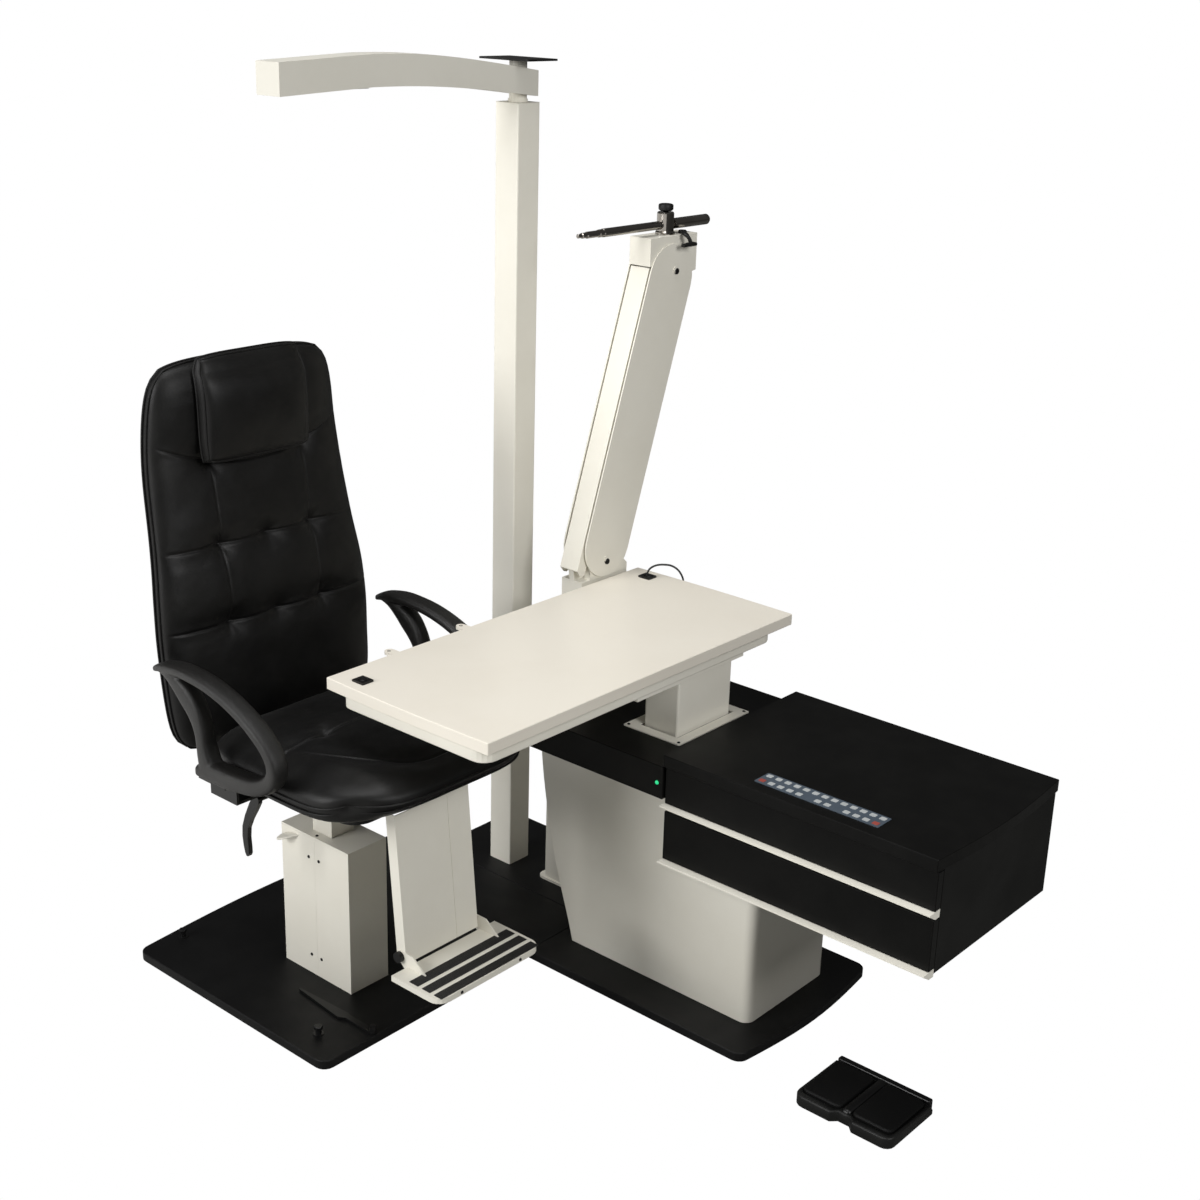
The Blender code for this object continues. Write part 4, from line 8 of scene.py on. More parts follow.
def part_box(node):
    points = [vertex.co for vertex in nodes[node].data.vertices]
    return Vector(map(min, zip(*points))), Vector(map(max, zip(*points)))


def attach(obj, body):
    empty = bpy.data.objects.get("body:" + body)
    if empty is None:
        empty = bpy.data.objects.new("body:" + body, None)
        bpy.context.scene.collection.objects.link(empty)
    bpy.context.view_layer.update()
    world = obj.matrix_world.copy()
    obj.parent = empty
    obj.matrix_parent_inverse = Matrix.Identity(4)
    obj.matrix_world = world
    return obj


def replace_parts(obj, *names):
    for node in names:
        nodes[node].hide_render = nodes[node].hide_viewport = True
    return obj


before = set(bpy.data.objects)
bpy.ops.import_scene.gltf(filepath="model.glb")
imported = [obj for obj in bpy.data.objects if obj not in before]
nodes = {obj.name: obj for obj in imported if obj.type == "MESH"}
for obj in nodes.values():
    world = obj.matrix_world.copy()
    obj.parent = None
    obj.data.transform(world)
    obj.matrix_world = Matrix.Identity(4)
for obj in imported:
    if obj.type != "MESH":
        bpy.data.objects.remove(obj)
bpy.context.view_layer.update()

scene = bpy.context.scene


# The view: the camera stands in front and to the right of the chair, a little above the table,
# with a lens of about 52 mm on a full frame, and leans by 1.7 degrees.

camera_turn = math.radians(40.44)
camera_pitch = math.radians(19.93)
camera_roll = math.radians(1.70)
camera_place = (2.559, -2.695, 2.024)
lens_mm, sensor_mm = 52.14, 36
view_back = Vector((math.sin(camera_turn) * math.cos(camera_pitch),
                    -math.cos(camera_turn) * math.cos(camera_pitch),
                    math.sin(camera_pitch)))
view_right = Vector((math.cos(camera_turn), math.sin(camera_turn), 0))
view_up = view_back.cross(view_right)
rolled_right = view_right * math.cos(camera_roll) + view_up * math.sin(camera_roll)
rolled_up = view_up * math.cos(camera_roll) - view_right * math.sin(camera_roll)
lens = bpy.data.cameras.new("unit_view")
lens.lens = lens_mm
lens.sensor_width = sensor_mm
camera = bpy.data.objects.new("unit_view", lens)
camera.matrix_world = Matrix.Translation(camera_place) @ Matrix(
    (rolled_right, rolled_up, view_back)).transposed().to_4x4()
scene.collection.objects.link(camera)
scene.camera = camera


# The short black lead on the table: it leaves the far socket, arches over the board's end and
# goes in under the board, against the tray. A rubber jacket, 4.4 mm thick, kept soft.

def curve_through(points, steps):
    """A smooth line through the points, by Catmull and Rom's rule."""
    line = []
    for i in range(len(points) - 1):
        a, b, c, d = (Vector(points[min(max(i + k, 0), len(points) - 1)]) for k in (-1, 0, 1, 2))
        for s in range(steps):
            t = s / steps
            line.append((b * 2 + (c - a) * t + (a * 2 - b * 5 + c * 4 - d) * t**2
                         + (b * 3 - a - c * 3 + d) * t**3) / 2)
    line.append(Vector(points[-1]))
    return line


socket_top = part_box("socket_far")[1].z
lead_route = [
    (0.2830, 0.1345, socket_top - 0.0034),
    (0.2832, 0.1350, socket_top + 0.0080),
    (0.2870, 0.1400, socket_top + 0.0170),
    (0.2960, 0.1490, socket_top + 0.0235),
    (0.3080, 0.1590, socket_top + 0.0255),
    (0.3220, 0.1700, socket_top + 0.0235),
    (0.3340, 0.1790, socket_top + 0.0140),
    (0.3420, 0.1850, socket_top - 0.0020),
    (0.3450, 0.1855, socket_top - 0.0180),
    (0.3440, 0.1810, socket_top - 0.0330),
    (0.3420, 0.1700, socket_top - 0.0450),
    (0.3400, 0.1550, socket_top - 0.0500),
    (0.3400, 0.1353, socket_top - 0.0510),
]
lead_line = curve_through(lead_route, 6)
lead_curve = bpy.data.curves.new("table_lead", "CURVE")
lead_curve.dimensions = "3D"
lead_curve.bevel_depth = 0.0022
lead_curve.bevel_resolution = 4
lead_curve.use_fill_caps = True
lead_spline = lead_curve.splines.new("POLY")
lead_spline.points.add(len(lead_line) - 1)
for knot, place in zip(lead_spline.points, lead_line):
    knot.co = (*place, 1)
lead = bpy.data.objects.new("table_lead", lead_curve)
scene.collection.objects.link(lead)
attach(lead, "table_top")
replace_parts(lead, "table_cable")


# Finishes: each is a Principled surface whose colour, gloss and grain change over the piece.
# Three effects are shared by all of them and are built once, as node groups.

def set_inputs(node, **values):
    """Sets the sockets of a node by their labels."""
    for label, value in values.items():
        node.inputs[label.replace("_", " ")].default_value = value


def effect_group(name, inputs, outputs):
    """An empty node group with its sockets, and handles to its two ends."""
    group = bpy.data.node_groups.new(name, "ShaderNodeTree")
    for label, kind, value in inputs:
        made = group.interface.new_socket(label, in_out="INPUT", socket_type=kind)
        if value is not None:
            made.default_value = value
    for label, kind in outputs:
        group.interface.new_socket(label, in_out="OUTPUT", socket_type=kind)
    return group, group.nodes.new("NodeGroupInput"), group.nodes.new("NodeGroupOutput")


# uneven colour, as in paint, dye and handled plastic
mottle, mottle_in, mottle_out = effect_group(
    "uneven colour",
    [("Vector", "NodeSocketVector", None), ("Scale", "NodeSocketFloat", 8.0),
     ("Main", "NodeSocketColor", (0.5, 0.5, 0.5, 1)),
     ("Other", "NodeSocketColor", (0.4, 0.4, 0.4, 1)),
     ("Share", "NodeSocketFloat", 0.5)],
    [("Colour", "NodeSocketColor"), ("Mask", "NodeSocketFloat")])
clouds = mottle.nodes.new("ShaderNodeTexNoise")
set_inputs(clouds, Detail=5, Roughness=0.62)
spread = mottle.nodes.new("ShaderNodeMapRange")
spread.interpolation_type = "SMOOTHSTEP"
set_inputs(spread, From_Min=0.36, From_Max=0.66)
share = mottle.nodes.new("ShaderNodeMath")
share.operation = "MULTIPLY"
blend = mottle.nodes.new("ShaderNodeMix")
blend.data_type = "RGBA"
for start, end in (
        (mottle_in.outputs["Vector"], clouds.inputs["Vector"]),
        (mottle_in.outputs["Scale"], clouds.inputs["Scale"]),
        (clouds.outputs["Fac"], spread.inputs["Value"]),
        (spread.outputs["Result"], share.inputs[0]),
        (mottle_in.outputs["Share"], share.inputs[1]),
        (share.outputs[0], blend.inputs["Factor"]),
        (mottle_in.outputs["Main"], blend.inputs["A"]),
        (mottle_in.outputs["Other"], blend.inputs["B"]),
        (blend.outputs["Result"], mottle_out.inputs["Colour"]),
        (spread.outputs["Result"], mottle_out.inputs["Mask"])):
    mottle.links.new(start, end)

# gloss that changes where a surface was wiped and handled
handled, handled_in, handled_out = effect_group(
    "handled gloss",
    [("Vector", "NodeSocketVector", None), ("Scale", "NodeSocketFloat", 5.0),
     ("Polished", "NodeSocketFloat", 0.3), ("Dull", "NodeSocketFloat", 0.5)],
    [("Roughness", "NodeSocketFloat")])
smears = handled.nodes.new("ShaderNodeTexNoise")
set_inputs(smears, Detail=6, Distortion=0.6)
gloss = handled.nodes.new("ShaderNodeMapRange")
set_inputs(gloss, From_Min=0.3, From_Max=0.7)
for start, end in (
        (handled_in.outputs["Vector"], smears.inputs["Vector"]),
        (handled_in.outputs["Scale"], smears.inputs["Scale"]),
        (smears.outputs["Fac"], gloss.inputs["Value"]),
        (handled_in.outputs["Polished"], gloss.inputs["To Min"]),
        (handled_in.outputs["Dull"], gloss.inputs["To Max"]),
        (gloss.outputs["Result"], handled_out.inputs["Roughness"])):
    handled.links.new(start, end)

# fine relief: pebbles of a skin over slower waves
grain, grain_in, grain_out = effect_group(
    "fine relief",
    [("Vector", "NodeSocketVector", None), ("Scale", "NodeSocketFloat", 600.0),
     ("Pebbles", "NodeSocketFloat", 0.0)],
    [("Height", "NodeSocketFloat")])
peel = grain.nodes.new("ShaderNodeTexNoise")
set_inputs(peel, Detail=3)
pebble = grain.nodes.new("ShaderNodeTexVoronoi")
pebble.feature = "DISTANCE_TO_EDGE"
set_inputs(pebble, Randomness=0.9)
dome = grain.nodes.new("ShaderNodeMapRange")
dome.interpolation_type = "SMOOTHSTEP"
set_inputs(dome, From_Max=0.28)
relief = grain.nodes.new("ShaderNodeMix")
for start, end in (
        (grain_in.outputs["Vector"], peel.inputs["Vector"]),
        (grain_in.outputs["Scale"], peel.inputs["Scale"]),
        (grain_in.outputs["Vector"], pebble.inputs["Vector"]),
        (grain_in.outputs["Scale"], pebble.inputs["Scale"]),
        (pebble.outputs["Distance"], dome.inputs["Value"]),
        (grain_in.outputs["Pebbles"], relief.inputs["Factor"]),
        (peel.outputs["Fac"], relief.inputs["A"]),
        (dome.outputs["Result"], relief.inputs["B"]),
        (relief.outputs["Result"], grain_out.inputs["Height"])):
    grain.links.new(start, end)


def finish(name, main, other, share=0.5, patch=6.0, polished=0.35, dull=0.5, smear=5.0,
           relief_scale=700.0, pebbles=0.0, relief_depth=0.00012, relief_strength=0.35,
           **constants):
    """A material of one finish; constants are set on the shader's own sockets."""
    made = bpy.data.materials.new(name)
    made.use_nodes = True
    tree = made.node_tree
    shader = tree.nodes["Principled BSDF"]
    set_inputs(shader, **constants)
    place = tree.nodes.new("ShaderNodeTexCoord")
    colour = tree.nodes.new("ShaderNodeGroup")
    colour.node_tree = mottle
    set_inputs(colour, Scale=patch, Main=(*main, 1), Other=(*other, 1), Share=share)
    sheen = tree.nodes.new("ShaderNodeGroup")
    sheen.node_tree = handled
    set_inputs(sheen, Scale=smear, Polished=polished, Dull=dull)
    skin = tree.nodes.new("ShaderNodeGroup")
    skin.node_tree = grain
    set_inputs(skin, Scale=relief_scale, Pebbles=pebbles)
    bump = tree.nodes.new("ShaderNodeBump")
    set_inputs(bump, Distance=relief_depth, Strength=relief_strength)
    for part in (colour, sheen, skin):
        tree.links.new(place.outputs["Object"], part.inputs["Vector"])
    tree.links.new(colour.outputs["Colour"], shader.inputs["Base Color"])
    tree.links.new(sheen.outputs["Roughness"], shader.inputs["Roughness"])
    tree.links.new(skin.outputs["Height"], bump.inputs["Height"])
    tree.links.new(bump.outputs["Normal"], shader.inputs["Normal"])
    return made


def dress(material, *names):
    """Gives CAD nodes their finish."""
    for name in names:
        node = nodes[name]
        node.data.materials.clear()
        node.data.materials.append(material)


lead_curve.materials.append(finish("rubber jacket", (0.012, 0.012, 0.012), (0.02, 0.02, 0.02),
                                   polished=0.45, dull=0.6, relief_scale=1500))


# Floor and light: a white sweep that is seen as plain white, but gives the object only a soft glow
# from the front left. A large lamp stands at the front left, and two weaker ones at the right and
# overhead.

def seen_white(tree, surface_shader, output, label):
    """Shows plain white to the camera, and the given shader to every other ray."""
    rays = tree.nodes.new("ShaderNodeLightPath")
    bright = tree.nodes.new(label)
    set_inputs(bright, Color=(1, 1, 1, 1), Strength=1.0)
    choice = tree.nodes.new("ShaderNodeMixShader")
    tree.links.new(rays.outputs["Is Camera Ray"], choice.inputs["Fac"])
    tree.links.new(surface_shader, choice.inputs[1])
    tree.links.new(bright.outputs[0], choice.inputs[2])
    tree.links.new(choice.outputs["Shader"], output.inputs["Surface"])


floor_shape = bmesh.new()
bmesh.ops.create_grid(floor_shape, x_segments=1, y_segments=1, size=220)
bmesh.ops.translate(floor_shape, verts=floor_shape.verts, vec=(0.4, -0.3, -0.0005))
floor_mesh = bpy.data.meshes.new("studio_floor")
floor_shape.to_mesh(floor_mesh)
floor_shape.free()
studio_floor = bpy.data.objects.new("studio_floor", floor_mesh)
scene.collection.objects.link(studio_floor)
pale = bpy.data.materials.new("pale floor")
pale.use_nodes = True
pale_tree = pale.node_tree
pale_shader = pale_tree.nodes["Principled BSDF"]
set_inputs(pale_shader, Base_Color=(0.17, 0.17, 0.16, 1), Roughness=0.9,
           Emission_Color=(1, 0.99, 0.97, 1))
floor_place = pale_tree.nodes.new("ShaderNodeTexCoord")
toward_lamp = pale_tree.nodes.new("ShaderNodeVectorMath")
toward_lamp.operation = "DOT_PRODUCT"
toward_lamp.inputs[1].default_value = (-0.55, -0.83, 0)
glow_share = pale_tree.nodes.new("ShaderNodeMapRange")
glow_share.interpolation_type = "SMOOTHSTEP"
set_inputs(glow_share, From_Min=0.2, From_Max=2.2, To_Min=0.03, To_Max=1.05)
pale_tree.links.new(floor_place.outputs["Object"], toward_lamp.inputs[0])
pale_tree.links.new(toward_lamp.outputs["Value"], glow_share.inputs["Value"])
pale_tree.links.new(glow_share.outputs["Result"], pale_shader.inputs["Emission Strength"])
seen_white(pale_tree, pale_shader.outputs["BSDF"], pale_tree.nodes["Material Output"],
           "ShaderNodeEmission")
floor_mesh.materials.append(pale)

sky = bpy.data.worlds.new("soft room")
sky.use_nodes = True
sky_tree = sky.node_tree
room_light = sky_tree.nodes["Background"]
set_inputs(room_light, Color=(1, 0.99, 0.97, 1), Strength=0.085)
seen_white(sky_tree, room_light.outputs["Background"], sky_tree.nodes["World Output"],
           "ShaderNodeBackground")
scene.world = sky
scene.view_settings.view_transform = "Standard"


def soft_lamp(name, place, aim, power, side):
    """A square softbox at a place, turned to its aim."""
    light = bpy.data.lights.new(name, "AREA")
    light.energy = power
    light.size = side
    holder = bpy.data.objects.new(name, light)
    holder.location = place
    holder.rotation_euler = (Vector(aim) - Vector(place)).to_track_quat("-Z", "Y").to_euler()
    scene.collection.objects.link(holder)


soft_lamp("left softbox", (-2.0, -8.2, 4.2), (0.2, -0.3, 0.8), 570, 4.2)
soft_lamp("right softbox", (4.6, -1.0, 3.2), (0.4, -0.2, 0.9), 118, 1.8)
soft_lamp("top softbox", (0.2, -0.9, 4.6), (0.4, -0.3, 0.5), 84, 2.0)


# Base plates: two 20 mm steel plates with a black powder coat, butted along one long seam.
# Two levelling bolts stand up through the chair's plate.

plate_black = finish("black plate coat", (0.0035, 0.0035, 0.0036), (0.0065, 0.0065, 0.0065),
                     patch=14, polished=0.42, dull=0.6, relief_scale=900, relief_depth=0.0003,
                     relief_strength=0.5, Specular_IOR_Level=0.2)
dress(plate_black, "chair_base_plate", "unit_base_plate")
black_metal = finish("black enamel", (0.004, 0.004, 0.004), (0.009, 0.009, 0.009), polished=0.3,
                     dull=0.48, relief_scale=1200, relief_depth=0.00008, Specular_IOR_Level=0.3)


def stand(name, shape, body, material, soft=35):
    """Makes a piece of a bmesh that is given in place, and lets it ride on a CAD body."""
    mesh = bpy.data.meshes.new(name)
    shape.to_mesh(mesh)
    shape.free()
    mesh.shade_smooth()
    mesh.set_sharp_from_angle(angle=math.radians(soft))
    mesh.materials.append(material)
    made = bpy.data.objects.new(name, mesh)
    scene.collection.objects.link(made)
    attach(made, body)
    return made


def spun(shape, profile, steps, direction, place):
    """Turns a profile of (radius, height) pairs about its axis, then aims and places it."""
    before = set(shape.verts)
    points = [shape.verts.new((radius, 0, height)) for radius, height in profile]
    edges = [shape.edges.new(pair) for pair in zip(points, points[1:])]
    bmesh.ops.spin(shape, geom=points + edges, axis=(0, 0, 1), cent=(0, 0, 0), steps=steps,
                   angle=math.tau, use_merge=True)
    fresh = [vert for vert in shape.verts if vert not in before]
    turn = Vector((0, 0, 1)).rotation_difference(Vector(direction)).to_matrix()
    bmesh.ops.rotate(shape, verts=fresh, matrix=turn)
    bmesh.ops.translate(shape, verts=fresh, vec=place)


def slab(shape, size, centre):
    """Adds a box of a size about its centre, and returns its corners."""
    verts = bmesh.ops.create_cube(shape, size=1)["verts"]
    bmesh.ops.scale(shape, verts=verts, vec=size)
    bmesh.ops.translate(shape, verts=verts, vec=centre)
    return verts


def prism(shape, outline, push):
    """Adds the solid that an outline of points sweeps when it is pushed along."""
    face = shape.faces.new([shape.verts.new(point) for point in outline])
    swept = bmesh.ops.extrude_face_region(shape, geom=[face])["geom"]
    bmesh.ops.translate(shape, verts=[v for v in swept if isinstance(v, bmesh.types.BMVert)],
                        vec=push)


def eased(shape, edges, offset, segments=2, clamp=False):
    """Rounds the given edges."""
    bmesh.ops.bevel(shape, geom=edges, offset=offset, segments=segments, profile=0.5,
                    affect="EDGES", material=-1, clamp_overlap=clamp)


def sharp_edges(shape):
    return [edge for edge in shape.edges if edge.calc_face_angle(0) > 0.9]


def closed(shape):
    """Merges doubles at poles and seams and points every face outwards."""
    bmesh.ops.remove_doubles(shape, verts=shape.verts, dist=1e-6)
    bmesh.ops.recalc_face_normals(shape, faces=shape.faces)
    return shape


plate_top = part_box("chair_base_plate")[1].z
bolts = bmesh.new()
washer_and_shank = [(0, 0), (0.011, 0), (0.011, 0.0016), (0.0062, 0.0016), (0.0062, 0.011),
                    (0, 0.011)]
hexagon_head = [(0, 0.0112), (0.0085, 0.0112), (0.0092, 0.012), (0.0092, 0.017),
                (0.0083, 0.0182), (0, 0.0182)]
for x, y in ((-0.256, -0.758), (0.239, -0.796)):
    spun(bolts, washer_and_shank, 24, (0, 0, 1), (x, y, plate_top))
    spun(bolts, hexagon_head, 6, (0, 0, 1), (x, y, plate_top))
stand("levelling_bolts", closed(bolts), "base", black_metal, 30)


# Lock pedal: a flat black steel bar, wedge-shaped in plan, that turns on a bolt in the plate.

dress(black_metal, "lock_pedal")


# Lamp column: 65 mm square steel tube in cream powder coat, with its bush and spindle in the same
# cream, and a curved moulded arm.
# The arm's moulded cream is darker than the coat, as painted shade for its dim sides. The reading
# lamp's lens lies in the arm's end.
# The other finishes that several pieces share stand here too.

cream_coat = finish("cream powder coat", (0.800, 0.775, 0.690), (0.745, 0.715, 0.625), share=0.55,
                    patch=3.5, polished=0.30, dull=0.42, relief_scale=850, relief_depth=0.00012,
                    relief_strength=0.3, Coat_Weight=0.12, Coat_Roughness=0.25)
# moulded cream plastic of the lamp arm, darkened below the coat's cream as painted shade
shaded_cream_shell = finish("cream moulding with painted shade", (0.665, 0.645, 0.578), (0.620, 0.600, 0.530), share=0.5,
                     patch=4.0, polished=0.32, dull=0.46, relief_scale=1400, relief_depth=0.00006)
dress(cream_coat, "lamp_pole", "lamp_pole_bush", "lamp_spindle", "column_cover_rear",
      "column_cover_front", "column_cap", "chair_mast", "footrest_support", "footplate",
      "column_trim_plate", "table_column", "table_head", "table_tray", "refractor_column",
      "swivel_fork", "arm_housing", "front_link", "head_block")
dress(shaded_cream_shell, "lamp_arm")
grey_steel = finish("ground steel", (0.46, 0.455, 0.44), (0.38, 0.375, 0.36), patch=30,
                    polished=0.18, dull=0.34, relief_scale=2200, relief_depth=0.00003, Metallic=1.0)
dress(grey_steel, "chair_lift_guide", "recline_pin", "table_lift_guide")
black_moulding = finish("grained black moulding", (0.0050, 0.0050, 0.0048),
                        (0.0095, 0.0095, 0.0090), patch=9, polished=0.36, dull=0.5,
                        relief_scale=1100, pebbles=0.7, relief_depth=0.00012,
                        relief_strength=0.4, Specular_IOR_Level=0.3)
dress(black_moulding, "recline_lever", "tension_knob", "socket_near",
      "socket_far", "clamp_knob", "head_lock_lever")
dress(black_metal, "projector_plate", "tilt_mechanism", "back_bar", "armrest_crossbar",
      "footrest_pin")
frosted = finish("frosted lens", (0.72, 0.72, 0.70), (0.66, 0.66, 0.64), polished=0.25, dull=0.4,
                 relief_scale=400, pebbles=1.0, relief_depth=0.0003, relief_strength=0.5)
dress(frosted, "lamp_lens")


# Chair column: two folded sheet covers that meet at a seam, held by small black screws, round a
# square mast. The screws sit beside the seam at the top and the bottom.

cover_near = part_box("column_cover_front")[0].y
screws = bmesh.new()
screw_head = [(0, -0.0006), (0.0034, -0.0006), (0.0034, 0.0009), (0.0026, 0.0017),
              (0.0013, 0.0017), (0.0013, 0.0006), (0, 0.0006)]
for x in (0.059, 0.090):
    for z in (0.295, 0.065):
        spun(screws, screw_head, 16, (0, -1, 0), (x, cover_near, z))
spun(screws, screw_head, 16, (0, 0, 1), (0.076, cover_near + 0.009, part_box("column_cap")[1].z))
stand("cover_screws", closed(screws), "base", black_metal, 40)


# Seat cushion: foam under black leather. A seam crosses it behind two tufts, and a curved seam sets
# off the roll at its front; the rows of the mesh follow both, so that they stay sharp.

leather = finish("black leather", (0.0030, 0.0029, 0.0028), (0.0056, 0.0054, 0.0050), share=0.8,
                 patch=11, polished=0.36, dull=0.50, smear=9, relief_scale=430, pebbles=0.75,
                 relief_depth=0.0003, relief_strength=0.4, Specular_IOR_Level=0.24,
                 Sheen_Weight=0.03, Sheen_Roughness=0.4)
chair_y = -0.608
stitch = 0.0024


def hump(value, power, sharpness):
    """1 in the middle of a pad and 0 at its seam."""
    return max(0.0, 1.0 - abs(value) ** power) ** sharpness


def groove(distance, width):
    """1 on a line and fading to 0 beside it."""
    return math.exp(-((distance / width) ** 2))


def crease(point, size, seed):
    """Slow ripples of leather, from -1 to 1."""
    return noise.noise(Vector(point) / size + Vector((seed, seed * 1.7, seed * 0.6)))


def aligned(t, knots):
    """Moves the lines of an even grid onto the seams, and draws them together there."""
    ends = [(-1, -1), *knots, (1, 1)]
    for (a, low), (b, high) in zip(ends, ends[1:]):
        if t <= b:
            s = (t - a) / (b - a)
            s -= 0.62 * math.sin(math.tau * s) / math.tau
            return low + (high - low) * s
    return 1.0


def pad(name, columns, rows, place, body, node):
    """A cushion of a front and a back sheet, sewn together at its rim."""
    shape = bmesh.new()
    for side in (1, -1):
        sheet = bmesh.ops.create_grid(shape, x_segments=columns, y_segments=rows, size=1)
        for vert in sheet["verts"]:
            vert.co = place(vert.co.x, vert.co.y, side)
    bmesh.ops.remove_doubles(shape, verts=shape.verts, dist=0.0001)
    bmesh.ops.recalc_face_normals(shape, faces=shape.faces)
    made = stand(name, shape, body, leather, 80)
    rounder = made.modifiers.new("smooth skin", "SUBSURF")
    rounder.levels = rounder.render_levels = 1
    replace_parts(made, node)


seat_low, seat_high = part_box("seat_cushion")
seat_centre = Vector(((seat_low.x + seat_high.x) / 2, (seat_low.y + seat_high.y) / 2, 0))
seat_reach = (seat_high.x - seat_low.x) / 2
seat_half = (seat_high.y - seat_low.y) / 2
seat_seam = 0.572
seat_crown = 0.012
seat_top = 0.636
seat_cross = -0.13
seat_tufts = (-0.39, 0.39)


def roll_line(u):
    """Where the seam of the front roll runs, as a share of the seat's half length."""
    return max(0.75 - 2.0 * abs(u) ** 2.6, seat_cross + 0.06)


def seat_surface(u, v, side):
    front_share, side_share = 0.52, 0.16
    taper = 1 - (front_share if v > 0 else side_share) * abs(u) ** 4 * abs(v)
    narrow = 1 - side_share * abs(v) ** 4 * abs(u)
    fore, out = v * math.sqrt(taper), u * narrow
    x, y = seat_centre.x + seat_reach * fore, seat_centre.y + seat_half * out
    seam = seat_seam + 0.012 * max(0.0, v) ** 3
    if side < 0:
        full = hump(u, 8, 0.35) * hump(v, 3.2, 0.6)
        return Vector((x, y, seam + (seat_low.z - seam) * full))
    full = hump(u, 4.4, 0.42) * hump(v, 4.4, 0.42)
    z = seam + (seat_top - seat_crown - seam) * full + seat_crown * (1 - u * u) * (1 - v * v)
    inner = hump(u, 6, 1)
    cross = (v - seat_cross) * seat_reach
    z -= inner * (0.0042 * groove(cross, 0.028) + 0.0030 * groove(cross, stitch))
    steep = 4.9 * abs(u) ** 1.6
    roll = (v - roll_line(u)) * seat_reach / math.hypot(1, steep)
    fade = max(0.0, 1 - (abs(u) / 0.72) ** 6)
    z -= fade * (0.0048 * groove(roll, 0.026) + 0.0024 * groove(roll, stitch))
    z += fade * 0.0026 * groove(roll - 0.045, 0.032)
    for at in seat_tufts:
        away = math.hypot((u - at) * seat_half, cross)
        z -= 0.0070 * groove(away, 0.020) + 0.0030 * groove(away, 0.007)
        if v < seat_cross:
            run = (u - at * (1 + 0.55 * (v - seat_cross) / 0.5)) * seat_half
            z -= 0.0016 * groove(run, 0.0026) * hump((v + 0.40) / 0.27, 6, 1)
    z += 0.0022 * crease((x, y * 1.4, 0), 0.085, 3.1) * full
    z += 0.0009 * crease((x * 1.8, y, 0), 0.030, 6.2) * full
    return Vector((x, y, z))


def seat_place(s, t, side):
    u = aligned(s, [])
    return seat_surface(u, aligned(t, [(seat_cross, seat_cross), (0.45, roll_line(u))]), side)


pad("seat_pad", 100, 104, seat_place, "seat", "seat_cushion")


def piping(name, places, radius, body):
    """A sewn cord of leather that follows a closed line of places."""
    curve = bpy.data.curves.new(name, "CURVE")
    curve.dimensions = "3D"
    curve.bevel_depth = radius
    curve.bevel_resolution = 2
    line = curve.splines.new("POLY")
    line.points.add(len(places) - 1)
    for knot, place in zip(line.points, places):
        knot.co = (*place, 1)
    line.use_cyclic_u = True
    holder = bpy.data.objects.new(name, curve)
    mesh = bpy.data.meshes.new_from_object(holder)
    bpy.data.objects.remove(holder)
    mesh.name = name
    shape = bmesh.new()
    shape.from_mesh(mesh)
    made = stand(name, closed(shape), body, leather, 60)


def rim_of(surface, steps, size=1.0, shift=(0, 0, 0)):
    """The line in which a pad's two sheets meet, or one beside it."""
    corners = [(-size, -size), (size, -size), (size, size), (-size, size), (-size, -size)]
    line = []
    for (u0, v0), (u1, v1) in zip(corners, corners[1:]):
        for k in range(steps):
            t = k / steps
            line.append(surface(u0 + (u1 - u0) * t, v0 + (v1 - v0) * t, 1) + Vector(shift))
    return line


piping("seat_piping", rim_of(seat_surface, 40), 0.0026, "seat")
piping("seat_lower_piping", rim_of(seat_surface, 40, shift=(-0.0015, 0, -0.0125)), 0.0022, "seat")


# Seat pan: a flat black board under the cushion, set in from the cushion's edge all round.

pan_low, pan_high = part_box("seat_pan")
board = bmesh.new()
slab(board, (0.366, 0.374, pan_high.z - pan_low.z), (0.175, chair_y, (pan_low.z + pan_high.z) / 2))
eased(board, [e for e in board.edges if abs(e.verts[0].co.z - e.verts[1].co.z) > 0.001], 0.045, 8)
eased(board, sharp_edges(board), 0.0015)
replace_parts(stand("pan_board", closed(board), "seat", black_moulding, 30),
            "seat_pan")


# Backrest: one tall cushion on a steel bar, narrowed towards its round top. It has three seams
# across, two down, rows of tufts and a double piped rim, and it leans with the recline hinge.

back_low, back_high = 0.535, 1.303
back_width = 0.519
back_plane = -0.118
corner_drop = 0.032
depth_shares = [(0.0, -0.46), (0.15, -0.22), (0.30, -0.06), (0.40, 0.10), (0.52, 0.42),
                (0.76, 1.0), (1.0, 0.98)]
width_shares = [(0.0, 0.955), (0.15, 0.985), (0.30, 1.0), (0.40, 0.985), (0.50, 0.950),
                (0.60, 0.925), (0.75, 0.898), (0.85, 0.872), (0.93, 0.840), (1.0, 0.80)]
back_seams = [(-0.335, 0.0), (0.07, 0.0), (0.465, 0.150)]
back_tufts = (-0.115, 0.0, 0.115)
back_lines = (-0.112, 0.112)
back_centre, back_reach = (back_low + back_high) / 2, (back_high - back_low) / 2


def read_along(table, share):
    """Reads a table of (place, value) pairs on a smooth line through them."""
    k = 0
    while k < len(table) - 2 and share > table[k + 1][0]:
        k += 1
    (a, first), (b, second) = table[k], table[k + 1]
    before, after = table[max(k - 1, 0)], table[min(k + 2, len(table) - 1)]
    t = min(1.0, max(0.0, (share - a) / (b - a)))
    rise = (second - before[1]) / (b - before[0]) * (b - a)
    fall = (after[1] - first) / (after[0] - a) * (b - a)
    return (first * (1 + 2 * t) * (1 - t) ** 2 + rise * t * (1 - t) ** 2
            + second * (3 - 2 * t) * t * t + fall * t * t * (t - 1))


